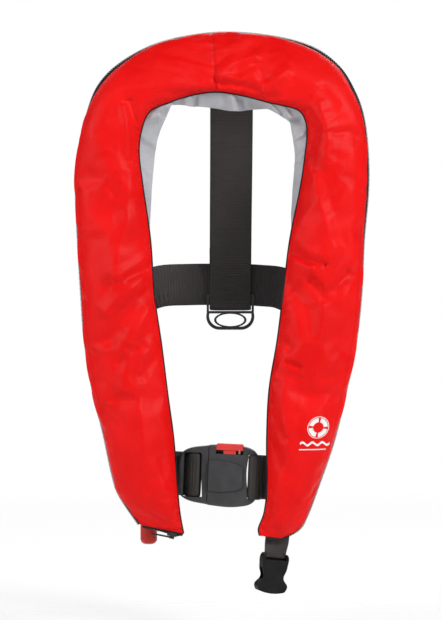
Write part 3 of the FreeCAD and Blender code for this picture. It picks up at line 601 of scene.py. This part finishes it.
def fold_lift(x, z, points, height, left, right):
    """How far one fold lifts the cloth at x, z: a rounded tent over the line through the points."""
    best = 1e9
    for k, (a, b) in enumerate(zip(points, points[1:])):
        dx, dz = b[0] - a[0], b[1] - a[1]
        length = math.hypot(dx, dz)
        along = ((x - a[0]) * dx + (z - a[1]) * dz) / length
        beyond = max(0.0, -along if k == 0 else 0.0, along - length if k == len(points) - 2 else 0.0)
        along = min(max(along, 0.0), length)
        away = math.hypot(x - a[0] - dx * along / length, z - a[1] - dz * along / length)
        if away < best:
            best, past = away, beyond
            side = dx * (z - a[1]) - dz * (x - a[0])
    reach = left if side > 0 else right
    fall = (math.hypot(best, CREST_ROUND) - CREST_ROUND) / reach
    if fall >= 1:
        return 0.0
    fade = max(0.0, 1 - past / (0.8 * reach))
    return height * (1 - fall) ** 1.25 * fade


def attribute_of(mesh, name):
    found = np.empty(len(mesh.vertices))
    mesh.attributes[name].data.foreach_get("value", found)
    return found


def creased(made):
    """Press the named folds into a refined front panel, and small puckers along its seams."""
    points = coordinates(made)
    along, share = attribute_of(made.data, "along"), attribute_of(made.data, "share")
    boxes = []
    for fold in FOLDS:
        xs, zs = [p[0] for p in fold[0]], [p[1] for p in fold[0]]
        reach = max(fold[2], fold[3])
        boxes.append((min(xs) - reach, max(xs) + reach, min(zs) - reach, max(zs) + reach))
    for index, p in enumerate(points):
        x, z = p[0] / MM, p[2] / MM
        lift = 0.0
        for fold, (x0, x1, z0, z1) in zip(FOLDS, boxes):
            if x0 < x < x1 and z0 < z < z1:
                lift += fold_lift(x, z, *fold)
        s = share[index]
        inside = min(1.0, s / 0.16, (1 - s) / 0.12)
        hold = 1 - (1 - max(0.0, inside)) ** 2
        where = Vector((along[index] * 3.3, 0.0, 7.0 if s < 0.5 else 2.0))
        pucker = noise.noise(where * 1.9) * 0.9 + noise.noise(where * 4.1) * 0.5
        near = math.exp(-((min(s, 1 - s) - 0.07) / 0.07) ** 2)
        broad = noise.noise(Vector((x, z, 3.0)) * 0.021) * 1.3
        seam = math.exp(-((along[index] - MIDDLE) / 0.055) ** 2)
        gathers = noise.noise(Vector((3.0, z * 0.17, along[index]))) * math.exp(
            -abs(along[index] - MIDDLE) / 0.22)
        points[index][1] -= (FOLD_SCALE * lift * hold + pucker * near + broad * hold - 1.5 * seam * hold
                             + 1.3 * gathers * hold) * MM
    put_coordinates(made, points)


def pleated(made):
    """Press the pleats into the strip of a lining panel that shows inside the neck."""
    points = coordinates(made)
    share = attribute_of(made.data, "share")
    for index, p in enumerate(points):
        hold = max(0.0, min(1.0, share[index] / 0.05, (0.3 - share[index]) / 0.08))
        if hold > 0.0:
            lift = sum(fold_lift(p[0] / MM, p[2] / MM, *pleat) for pleat in PLEATS)
            points[index][1] -= PLEAT_SCALE * lift * hold * MM
    put_coordinates(made, points)


def cover_panel(name, row_of, first, last, flip, columns, material, slot, pressure, growth, reach, node):
    """One panel of the cover from its rows, blown up, refined and put in its node's place."""
    count = (last - first) * ROWS_PER_STATION + 1
    points = []
    for i in range(count):
        points.extend(row_of(first + i / ROWS_PER_STATION))
    made = piece(name, points, grid_faces(count, columns, flip=flip), material)
    for label, values in (
            ("along", [first + i / ROWS_PER_STATION for i in range(count) for j in range(columns)]),
            ("share", [j / (columns - 1) for i in range(count) for j in range(columns)])):
        made.data.attributes.new(label, "FLOAT", "POINT").data.foreach_set("value", values)
    pinned = {}
    for i in range(count):
        pinned[i * columns] = pinned[i * columns + columns - 1] = 1.0
    for j in range(columns):
        pinned[j] = pinned[(count - 1) * columns + j] = 1.0
    cloth_run(made, pinned, pressure, growth, reach)
    refined(made, 2)
    fitted(made, "cover", slot, node)
    return made


HARD_INSIDE = ("gas_cylinder", "firing_head", "automatic_cap", "oral_tube", "oral_flange", "oral_mouthpiece",
               "oral_cap", "whistle", "whistle_ring", "firing_lever", "lever_axle", "valve_nut")


def hard_inside():
    """One surface of all the hard pieces that the cover hides."""
    verts, faces = [], []
    for name in HARD_INSIDE:
        mesh = bpy.data.objects[name].data
        base = len(verts)
        verts.extend(v.co.copy() for v in mesh.vertices)
        add_faces(faces, [p.vertices for p in mesh.polygons], base)
    return BVHTree.FromPolygons(verts, faces)


def kept_clear(made, hard, side):
    """Push a panel off the hard pieces inside it: side -1 for a front panel and 1 for a lining.

    A point goes past the last hard surface that stands proud of it, and draws its neighbours along.
    """
    points = coordinates(made)
    push = np.zeros(len(points))
    for index, p in enumerate(points):
        start, found = Vector(p), None
        for _ in range(12):
            hit, _, _, _ = hard.ray_cast(start, Vector((0, side, 0)), 0.04)
            if hit is None:
                break
            found = hit
            start = hit + Vector((0, side * 1e-5, 0))
        if found is not None:
            push[index] = abs(found.y - p[1]) + CLEARANCE * MM
    edges = np.array([e.vertices for e in made.data.edges])
    spread = push.copy()
    for _ in range(9):
        for a, b in (edges.T, edges.T[::-1]):
            np.maximum.at(spread, a, spread[b] * 0.86)
    points[:, 1] += side * np.maximum(push, spread)
    put_coordinates(made, points)


def bladder_shares(t):
    """Which part of the cover's width the folded bladder fills: less where it lies beside hard pieces."""
    beside_gas = min(1.0, max(0.0, 8.3 - t), max(0.0, t - 1.0))
    beside_tube = min(1.0, max(0.0, t - 20.5), max(0.0, 27.5 - t))
    squeeze = max(beside_gas, beside_tube)
    return 0.12 + 0.46 * squeeze, 0.9


def make_bladder():
    """The bladder, pleated and laid round the horseshoe inside the cover."""
    verts = []
    around = 26
    first, end = 0.9, LAST - 2.2
    steps = int((end - first) * 5)
    for i in range(steps + 1):
        t = first + (end - first) * i / steps
        s = station(t)
        low, high = bladder_shares(t)
        closing = min(1.0, 0.12 + 4 * i / steps, 0.12 + 4 * (steps - i) / steps)
        for k in range(around):
            turn = 2 * math.pi * k / around
            across_share = 0.5 - 0.5 * math.copysign(abs(math.cos(turn)) ** 0.7, math.cos(turn))
            share = low + (high - low) * across_share
            room = (FRONT_PUFF * 0.62 if math.sin(turn) > 0 else BACK_PUFF * 0.45) * s[4]
            pleat = 1 + 0.05 * math.cos(9 * turn)
            depth = -room * abs(math.sin(turn)) ** 0.6 * math.copysign(1, math.sin(turn)) * pleat * closing
            verts.append(across(s, share, depth))
    made = refined(piece("bladder_cloth", verts, tube_faces(steps + 1, around), YELLOW), 1)
    fitted(made, "cover", "bladder_cloth", "bladder")


def make_cover():
    """Both front panels and both lining panels; gives back the front panels' surfaces."""
    trees = []
    hard = hard_inside()
    for name, first, end in (("left", 0, MIDDLE), ("right", MIDDLE, LAST)):
        front = cover_panel("cover_front_cloth_" + name, front_row, first, end, True, FRONT_COLUMNS + 1,
                            RED, "red_cloth", 2.0, 0.03, 6.0, "cover_front_" + name)
        creased(front)
        kept_clear(front, hard, -1)
        trees.append(surface_of(front))
        back = cover_panel("lining_cloth_" + name, back_row, first, end, False,
                           FOLD_COLUMNS + BACK_COLUMNS + 1, GREY, "lining", 1.0, 0.02, 4.0,
                           "cover_back_" + name)
        pleated(back)
        kept_clear(back, hard, 1)
    return trees


# ---------------------------------------------------------------- zip and piping
def tube(name, points, radius, material, sides=8):
    """A round tube through the points."""
    verts = []
    for i, p in enumerate(points):
        ahead = (points[min(i + 1, len(points) - 1)] - points[max(i - 1, 0)]).normalized()
        side = ahead.cross(Vector((0, 1, 0))).normalized()
        up = ahead.cross(side)
        for k in range(sides):
            turn = 2 * math.pi * k / sides
            verts.append(p + side * (radius * math.cos(turn)) + up * (radius * math.sin(turn)))
    return piece(name, verts, tube_faces(len(points), sides), material)


def zip_profile(t, off, depth):
    """A point of the zip wall, off outwards from its middle and depth behind the seam."""
    return across(station(t), 1, depth) + outward(t) * off


def make_zip_tape():
    """The zip's tape round the cover's outer edge, a little crowned across its width."""
    steps, columns = LAST * 10, 9
    verts = []
    for i in range(steps + 1):
        t = LAST * i / steps
        s = station(t)
        for j in range(columns):
            f = 2 * j / (columns - 1) - 1
            swell = 0.2 + 0.35 * (1 - f * f) - 0.5 * abs(f) ** 3
            if f < 0:
                swell -= (retreat(s[5]) + 0.5) * f * f
            verts.append(zip_profile(t, swell, f * zip_half(s)))
    tape = piece("zip_tape_cloth", verts, grid_faces(steps + 1, columns, flip=True), BLACK_TAPE)
    fitted(refined(tape, 1), "cover", "binding", "zip_tape")


def make_zip_teeth():
    """The zip's moulded teeth round the outer edge, from each side in turn."""
    verts, faces = [], []
    t, side, step = 0.02, 1, 0.02
    while t < LAST:
        here = zip_profile(t, 0.55, 0)
        after = zip_profile(min(LAST, t + step), 0.55, 0)
        ahead = (after - here).normalized()
        out = outward(t)
        deep = ahead.cross(out).normalized()
        centre = here + deep * (0.55 * side) + out * 0.35
        base = len(verts)
        for a, o, d in ((-1, -1, -1), (1, -1, -1), (1, 1, -1), (-1, 1, -1),
                        (-1, -1, 1), (1, -1, 1), (1, 1, 1), (-1, 1, 1)):
            narrow = 0.8 if o > 0 else 1.0
            verts.append(centre + ahead * (0.42 * a * narrow) + out * (0.55 * o)
                         + deep * (1.5 * d * narrow))
        add_faces(faces, ((0, 3, 2, 1), (4, 5, 6, 7), (0, 1, 5, 4), (2, 3, 7, 6), (1, 2, 6, 5), (0, 4, 7, 3)),
                  base)
        side = -side
        t += TOOTH_PITCH / 2 / max(1e-3, (after - here).length / step)
    fitted(piece("zip_teeth", verts, faces, ZIP_PLASTIC, smooth=False), "cover", "zip_plastic", "zip_chain")


def make_piping():
    """The dark binding along the cover's inner edge."""
    points = []
    for i in range(LAST * 10 + 1):
        s = station(i / 10)
        points.append(across(s, -0.5 / panel_width(s), -1.3))
    fitted(tube("inner_binding", points, 0.75, BLACK_TAPE), "cover", "binding", "inner_piping")


# ---------------------------------------------------------------- webbing
def webbing(name, path, normals, width, thick, body, nodes, ribs=RIB_HEIGHT):
    """Ribbed webbing along a smooth path of (x, y, z), its face towards the normals."""
    line, faces_to = [], []
    per = 6
    for i in range(len(path) - 1):
        for k in range(per):
            t = i + k / per
            line.append(Vector(catmull(path, t)))
            faces_to.append(Vector(catmull(normals, t)).normalized())
    line.append(Vector(path[-1]))
    faces_to.append(Vector(normals[-1]).normalized())
    lengths = [0.0]
    for a, b in zip(line, line[1:]):
        lengths.append(lengths[-1] + (b - a).length)
    total = lengths[-1]
    steps = int(total / (RIB_PITCH / 5))
    verts, k = [], 0
    across_shares = [math.sin(math.pi / 2 * (2 * j / 8 - 1)) for j in range(9)]
    ring = [(u, 1) for u in across_shares] + [(u, -1) for u in across_shares[::-1]]
    for i in range(steps + 1):
        at = total * i / steps
        while k < len(lengths) - 2 and lengths[k + 1] < at:
            k += 1
        f = (at - lengths[k]) / max(1e-6, lengths[k + 1] - lengths[k])
        p = line[k].lerp(line[k + 1], f)
        a, b = line[max(0, k - 1)], line[min(len(line) - 1, k + 2)]
        ahead = (b - a).normalized()
        n = faces_to[k].lerp(faces_to[k + 1], f)
        n = (n - ahead * n.dot(ahead)).normalized()
        side = ahead.cross(n)
        rib = ribs * (0.5 + 0.5 * math.cos(2 * math.pi * at / RIB_PITCH)) ** 0.7
        for u, face in ring:
            round_off = (1 - abs(u) ** 8) ** 0.5 if abs(u) < 1 else 0.0
            half = thick / 2 * (0.35 + 0.65 * round_off) - ribs * 0.6 + rib * (0.3 + 0.7 * round_off)
            verts.append(p + side * (u * width / 2) + n * (face * half))
    made = piece(name, verts, tube_faces(steps + 1, len(ring)), WEBBING)
    return fitted(made, body, "webbing", *nodes)


BELT_PATH = [
    (-62, 41.5, -382.8), (-80, 45, -381.8), (-95, 53, -379.6), (-105.5, 67, -363), (-111, 79, -310),
    (-110, 89, -245), (-97, 101, -203), (-72, 108.3, -186.5), (-36, 111.8, -183.5), (8, 112.8, -183.5),
    (40, 111.8, -184.5), (66, 108.3, -188.5), (89, 101, -206), (102, 88, -245), (105, 72, -305),
    (101, 56, -362), (91, 44, -381), (77, 36, -385.6), (64, 30.2, -387.8), (50, 29.6, -387.2),
]
BACK_STRAP_PATH = [
    (9, 26, 12), (9, 37, -12), (8.8, 60, -60), (8.4, 84, -115), (8.2, 98.5, -155), (8, 103.4, -172),
    (8, 104.8, -188), (8, 105.2, -202), (8, 107.4, -208.4), (8, 111, -210.6), (8, 114.8, -208.4),
    (8, 116.6, -202), (8, 116.6, -180), (8, 115.9, -165), (8, 112.6, -158), (8, 106.6, -151.5),
    (8, 101.4, -144),
]


BUCKLE_AT = (-4.7, 26.0, -385.0)
BUCKLE_PLACE = (Matrix.Translation(BUCKLE_AT) @ Matrix.Rotation(math.radians(-3.5), 4, "Z")
                @ Matrix.Rotation(math.radians(2.5), 4, "Y"))
LACED = [(-62, 5.4), (-52, 5.6), (-40, 5.8), (-37.0, 5.8), (-35.0, 3.4), (-32.8, -0.6), (-30.2, -3.2),
         (-26, -4.0), (-21.0, -3.0), (-18.9, 0.8), (-20.6, 4.6), (-26, 6.0), (-31, 7.0), (-37, 8.0),
         (-48, 8.0), (-64, 7.6)]
SEWN = [(59, 4.6), (48, 4.6), (45.4, 2.6), (43.9, -5.8), (40, -9.1), (35.6, -9.1), (32.6, -6.6),
        (31.8, -1.5), (31.9, 3.0), (33.4, 7.4), (38, 9.6), (48, 9.6), (61, 9.6)]
CROTCH_AT = Vector((57.0, 17.0, -449.0))
CROTCH_TWIST = 24.0
CROTCH_LEAN = 8.0


def flat_webbing(name, plan, thick, body, nodes):
    """Webbing that follows a plan of (x, y) points in the buckle's frame, its width along local Z."""
    path, normals = [], []
    for i, (x, y) in enumerate(plan):
        a, b = plan[max(0, i - 1)], plan[min(len(plan) - 1, i + 1)]
        path.append(BUCKLE_PLACE @ Vector((x, y, 0)))
        normals.append(BUCKLE_PLACE.to_3x3() @ Vector((a[1] - b[1], b[0] - a[0], 0)))
    return webbing(name, path, normals, SLOT_WEBBING, thick, body, nodes)


def tab_depth(node, top):
    """The depth of a keeper's sewn end, at its top or its foot."""
    points = sorted((v.co / MM for v in bpy.data.objects[node].data.vertices), key=lambda c: c.z)
    ends = points[-12:] if top else points[:12]
    return sum(c.y for c in ends) / len(ends)


def make_keepers():
    """The sewn loops behind the lobes that the waist belt runs through."""
    for side, x, z, out in (("left", -86.0, -381.0, 59.0), ("right", 81.0, -384.0, 50.5)):
        node = "belt_keeper_" + side
        half = BELT_WIDTH / 2 + 4.5
        low, high = tab_depth(node, False), tab_depth(node, True)
        plan = [(low, -half - 7), (low + 0.6, -half - 3), (34, -half), (out - 5, -half + 0.5),
                (out, -half + 6), (out + 0.7, 0), (out, half - 6), (out - 5, half - 0.5), (34, half),
                (high + 0.6, half + 3), (high, half + 7)]
        path = [(x, y, z + up) for y, up in plan]
        normals = [(0, 1, up * 0.09) for y, up in plan]
        webbing("keeper_webbing_" + side, path, normals, 12.0, 1.2, "cover", [node], ribs=0.12)


def make_crotch_strap():
    """The strap sewn behind the right foot and its short turning end, as one length of webbing."""
    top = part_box("crotch_strap_sewn")[1][1] / MM - 0.8
    path = [(59, top, -402), (58, top - 0.7, -418), (57.2, 18.2, -438), (57, 17, -446)]
    normals = [(0, 1, 0)] * 4
    lean = math.radians(CROTCH_LEAN)
    for drop, share in ((3, 0.15), (8, 0.5), (13, 0.85), (17, 1.0), (21.5, 1.0)):
        turn = math.radians(CROTCH_TWIST * share)
        path.append(CROTCH_AT + Vector((-drop * math.sin(lean), 0, -drop * math.cos(lean))))
        normals.append((-math.sin(turn), math.cos(turn), 0))
    made = webbing("crotch_strap_webbing", path, normals, 25.0, 1.6, None,
                   ["crotch_strap_sewn", "crotch_strap_end"], ribs=0.16)
    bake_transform(made)


def make_belts():
    normals = [((p[0] / 112.0) ** 3, ((p[1] - 70.0) / 41.0) ** 3, 0) for p in BELT_PATH]
    webbing("waist_belt_webbing", BELT_PATH, normals, BELT_WIDTH, BELT_THICK, "cover", ["waist_belt"])
    path = BACK_STRAP_PATH
    normals = []
    for i in range(len(path)):
        a, b = Vector(path[max(0, i - 1)]), Vector(path[min(len(path) - 1, i + 1)])
        ahead = b - a
        normals.append((0, ahead.z, -ahead.y))
    webbing("back_strap_webbing", path, normals, BELT_WIDTH, BELT_THICK, "cover", ["back_strap"])
    flat_webbing("belt_adjuster_webbing", LACED, BELT_THICK, "buckle_tongue", ["belt_adjuster_run"])
    flat_webbing("belt_sewn_webbing", SEWN, 1.7, "cover", ["belt_sewn_end"])
    make_keepers()
    make_crotch_strap()


# ---------------------------------------------------------------- stitches and print
# One stitch: how far along its pitch, how thick and how far out of the cloth it is, in shares.
STITCH = ((-0.40, 0.25, -0.5), (-0.28, 0.9, 0.1), (0, 1.0, 0.35), (0.28, 0.9, 0.1), (0.40, 0.25, -0.5))


def stitched(name, paths, pitch, thick):
    """Short raised stitches along the paths, which are lists of points in millimetres with normals."""
    verts, faces = [], []
    sides = 6
    for path in paths:
        wait = 0.0
        for (a, na), (b, nb) in zip(path, path[1:]):
            length = (b - a).length
            while wait < length:
                f = wait / length
                here, normal = a.lerp(b, f), na.lerp(nb, f).normalized()
                ahead = (b - a).normalized()
                cross = ahead.cross(normal).normalized()
                base = len(verts)
                for u, r, up in STITCH:
                    centre = here + ahead * (u * pitch) + normal * (up * thick * 0.6)
                    for k in range(sides):
                        turn = 2 * math.pi * k / sides
                        verts.append(centre + (cross * math.cos(turn) + normal * math.sin(turn))
                                     * (r * thick / 2))
                add_faces(faces, tube_faces(len(STITCH), sides), base)
                wait += pitch
            wait -= length
    return fitted(piece(name, verts, faces, RED_THREAD), "cover", "red_cloth")


def surface_of(made):
    """A piece's surface, to find points on."""
    mesh = made.data
    return BVHTree.FromPolygons([v.co.copy() for v in mesh.vertices],
                                [tuple(p.vertices) for p in mesh.polygons])


def on_front(tree, x, z, proud):
    """The point of a front panel at x, z, lifted a little, and the panel's normal there."""
    hit, normal, _, _ = tree.ray_cast(Vector((x * MM, -0.3, z * MM)), Vector((0, 1, 0)))
    if hit is None:
        return None, None
    if normal.y > 0:
        normal = -normal
    return hit / MM + normal * proud, normal


def make_collar_seam(trees):
    """Stitches down both sides of the seam where the collar's two front panels meet."""
    s = station(MIDDLE)
    paths = []
    for k in (-1, 1):
        path = []
        for i in range(33):
            x, z = panel_at(s, 0.04 + 0.92 * i / 32)
            at, normal = on_front(trees[0] if k < 0 else trees[1], x + k * 2.6, z, 0.1)
            if at is not None:
                path.append((at, normal))
        paths.append(path)
    stitched("collar_seam_stitches", paths, 3.4, 0.55)


def make_edge_stitches(trees):
    """A row of stitches along each hem of both front panels, beside the piping and beside the zip."""
    paths = []
    for tree, first, end in ((trees[0], 0.3, MIDDLE), (trees[1], MIDDLE, LAST - 0.3)):
        for share in (0.035, 0.945):
            path = []
            count = int((end - first) * 12)
            for i in range(count + 1):
                s = station(first + (end - first) * i / count)
                at, normal = on_front(tree, *panel_at(s, share), 0.05)
                if at is not None:
                    path.append((at, normal))
            paths.append(path)
    stitched("hem_stitches", paths, 3.2, 0.5)


def make_print(tree):
    """A white printed lifebuoy over a wave and a bar, lying on the right lobe's cloth."""
    middle_x, middle_z, lean = 98.5, -332.5, 0.12

    def ring(first, sweep, steps, radii):
        """An arc of rows across the radii, leaning a little; angles in degrees."""
        rows = []
        for i in range(steps + 1):
            turn = math.radians(first + sweep * i / steps)
            right, up = math.cos(turn) + lean * math.sin(turn), math.sin(turn)
            rows.append([(middle_x + r * right, middle_z + r * up) for r in radii])
        return rows

    shapes = [ring(90 * quarter + 4, 74, 16, (5.4, 6.9, 8.4, 9.9)) for quarter in range(4)]
    shapes.append(ring(0, 360, 64, (10.6, 11.3)))
    shapes.append([[(79.5 + 31 * i / 60, -349.4 + 1.5 * math.sin(i / 10 * math.pi) + d)
                    for d in (-1.25, 0, 1.25)] for i in range(61)])
    shapes.append([[(78.5 + 28 * i / 40, -355.4 + d) for d in (-0.55, 0.55)] for i in range(41)])
    verts, faces = [], []
    for grid in shapes:
        rows, columns = len(grid), len(grid[0])
        for proud in (0.16, -0.1):
            base = len(verts)
            for row in grid:
                for x, z in row:
                    at, _ = on_front(tree, x, z, proud)
                    verts.append(at)
            add_faces(faces, grid_faces(rows, columns, flip=proud < 0), base)
        top, low = base - rows * columns, base
        rim = [i * columns for i in range(rows)] + [(rows - 1) * columns + j for j in range(1, columns)]
        rim += [i * columns + columns - 1 for i in range(rows - 2, -1, -1)]
        rim += [j for j in range(columns - 2, 0, -1)]
        for a, b in zip(rim, rim[1:] + rim[:1]):
            faces.append((top + a, low + a, low + b, top + b))
    fitted(piece("printed_mark", verts, faces, WHITE_PRINT), "cover", "white_plastic")


def make_lanyard():
    """The cord that runs from the firing lever down to its pull handle, with a knot at each end."""
    thick = 2.4 * MM
    cord = bpy.data.curves.new("pull_lanyard_cord", "CURVE")
    cord.dimensions = "3D"
    cord.bevel_depth = thick / 2
    cord.bevel_resolution = 4
    cord.resolution_u = 12
    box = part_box("pull_lanyard")
    low = Vector((0.5 * (box[0][0] + box[1][0]), box[1][1] - thick, box[0][2] + thick))
    high = Vector((low.x, box[0][1] + thick, box[1][2] - thick))
    line = cord.splines.new("NURBS")
    line.points.add(4)
    for k, point in enumerate(line.points):
        point.co = (*high.lerp(low, k / 4), 1.0)
    line.order_u = 3
    line.use_endpoint_u = True
    made = bpy.data.objects.new("pull_lanyard_cord", cord)
    bpy.context.scene.collection.objects.link(made)
    cord.materials.append(CORD)
    fitted(made, "pull_handle", "cord", "pull_lanyard")
    for name, at in (("upper_knot", high), ("lower_knot", low)):
        verts = []
        for i in range(25):
            turn = 2 * math.pi * i / 24
            for j in range(10):
                roll = 2 * math.pi * j / 10
                r = 1.3 + 1.05 * math.cos(roll + turn)
                verts.append(at / MM + Vector((r * math.cos(turn), r * math.sin(turn),
                                               1.05 * math.sin(roll + turn))))
        knot = piece(name, verts, grid_faces(25, 10, closed=True), CORD)
        fitted(knot, "pull_handle", "cord")


def make_foot_zip():
    """The zip's closed end across the left foot, with its teeth and its end stop."""
    s = STATIONS[0]
    start, end = across(s, 0, 0), across(s, 1, 0)
    ahead = (end - start).normalized()
    down = Vector((-ahead.z, 0, ahead.x)).normalized()
    if down.z > 0:
        down = -down
    deep = ahead.cross(down)
    verts, faces = [], []

    def brick(a0, a1, d0, d1, y0, y1):
        base = len(verts)
        for a in (a0, a1):
            for d in (d0, d1):
                for y in (y0, y1):
                    verts.append(start + ahead * a + down * d + deep * y)
        add_faces(faces, ((0, 1, 3, 2), (4, 6, 7, 5), (0, 4, 5, 1), (2, 3, 7, 6), (0, 2, 6, 4), (1, 5, 7, 3)),
                  base)

    at, side = 2.0, 1
    while at < 42.6:
        brick(at - 0.42, at + 0.42, 1.7, 2.9, 0.55 * side - 1.4, 0.55 * side + 1.4)
        at += TOOTH_PITCH / 2
        side = -side
    brick(0.6, 2.0, 1.2, 3.1, -2.2, 2.2)
    teeth = piece("foot_zip_teeth", verts, faces, ZIP_PLASTIC, smooth=False)
    fitted(teeth, "cover", "zip_plastic", "zip_foot_chain")
    rows = []
    for i in range(61):
        a = 44.0 * i / 60
        low = 1.9 + 2.4 * min(1.0, a / 5.0) * min(1.0, max(0.0, 32.0 - a) / 22.0)
        for d, y in ((0.2, -2.4), (1.4, -1.6), (low, -0.7), (low, 0.7), (1.4, 1.6), (0.2, 2.4)):
            rows.append(start + ahead * a + down * d + deep * y)
    fitted(piece("foot_zip_tape", rows, grid_faces(61, 6), BLACK_TAPE), "cover", "binding")


# ---------------------------------------------------------------- stage, lights and camera
FLOOR_DROP = 45.0
FLOOR_RADIUS = 2600.0


def mixed(tree, share, first, second, end):
    """Send two shaders to the end node, with a share of the second."""
    mix = add(tree, "MixShader")
    tree.links.new(share, mix.inputs["Fac"])
    tree.links.new(first.outputs[0], mix.inputs[1])
    tree.links.new(second.outputs[0], mix.inputs[2])
    tree.links.new(mix.outputs["Shader"], tree.nodes[end].inputs["Surface"])


def make_stage():
    """A pale round floor that fades into the white studio towards its rim, to the camera alone."""
    low = CAD_BOUNDS[0][2] / MM - FLOOR_DROP
    rings, sectors = 10, 48
    verts = []
    for ring in range(rings + 1):
        out = FLOOR_RADIUS * ring / rings
        for k in range(sectors):
            turn = 2 * math.pi * k / sectors
            verts.append((out * math.cos(turn), out * math.sin(turn), low))
    made, tree, lit = shader("studio_floor_paint", Roughness=0.9)
    where, _ = tinted(tree, lit, (0.93, 0.93, 0.93), (0.95, 0.95, 0.95), 2.0)
    away = add(tree, "VectorMath", operation="LENGTH")
    fade = add(tree, "MapRange", From_Min=0.4, From_Max=2.2, To_Min=0.7)
    seen = add(tree, "Math", operation="MULTIPLY")
    tree.links.new(where.outputs["Object"], away.inputs[0])
    tree.links.new(away.outputs["Value"], fade.inputs["Value"])
    tree.links.new(fade.outputs["Result"], seen.inputs[0])
    tree.links.new(add(tree, "LightPath").outputs["Is Camera Ray"], seen.inputs[1])
    mixed(tree, seen.outputs["Value"], lit, add(tree, "BsdfTransparent"), "Material Output")
    piece("studio_floor", verts, grid_faces(rings + 1, sectors, closed=True), made)


def area_light(name, at, aim, size, power):
    lamp = bpy.data.lights.new(name, "AREA")
    lamp.shape = "RECTANGLE"
    lamp.size, lamp.size_y = size
    lamp.energy = power
    made = bpy.data.objects.new(name, lamp)
    made.location = at
    made.rotation_euler = (Vector(aim) - Vector(at)).to_track_quat("-Z", "Y").to_euler()
    bpy.context.scene.collection.objects.link(made)


def make_lights():
    """A white studio that hardly lights the jacket, with a key light from the right and softer ones."""
    world = bpy.data.worlds.new("studio")
    world.use_nodes = True
    tree = world.node_tree
    room = add(tree, "Background", Color=(1, 1, 1, 1), Strength=0.09)
    paper = add(tree, "Background", Color=(1, 1, 1, 1), Strength=1.0)
    mixed(tree, add(tree, "LightPath").outputs["Is Camera Ray"], room, paper, "World Output")
    bpy.context.scene.world = world
    centre = (0, 0, -0.2)
    area_light("key", (1.7, -1.6, 1.1), centre, (0.5, 0.7), 53)
    area_light("fill", (-1.9, -1.0, 0.6), centre, (0.6, 1.2), 25)
    area_light("front", (-0.3, -2.2, 2.1), centre, (1.4, 1.0), 13)
    area_light("back", (0.4, 2.2, 1.3), centre, (1.6, 1.2), 16)
    area_light("floor_light", (0, 0.9, 0.6), (0, 1.1, -0.6), (2.2, 0.7), 10)


def make_camera():
    """Straight on to the front, level with the jacket's middle."""
    data = bpy.data.cameras.new("camera")
    made = bpy.data.objects.new("camera", data)
    data.sensor_width = SENSOR
    data.lens = SENSOR * CAMERA_AWAY / VIEW_HEIGHT
    data.clip_start, data.clip_end = 0.05, 30
    made.location = (-2.6 * MM, -CAMERA_AWAY * MM, -211.1 * MM)
    made.rotation_euler = (math.pi / 2, 0, 0)
    bpy.context.scene.collection.objects.link(made)
    bpy.context.scene.camera = made


make_camera()
make_lanyard()
dress_cad_nodes()
front_surfaces = make_cover()
make_bladder()
make_zip_tape()
make_zip_teeth()
make_foot_zip()
make_piping()
make_belts()
make_collar_seam(front_surfaces)
make_edge_stitches(front_surfaces)
make_print(front_surfaces[1])
make_stage()
make_lights()
bpy.context.scene.view_settings.view_transform = "Standard"
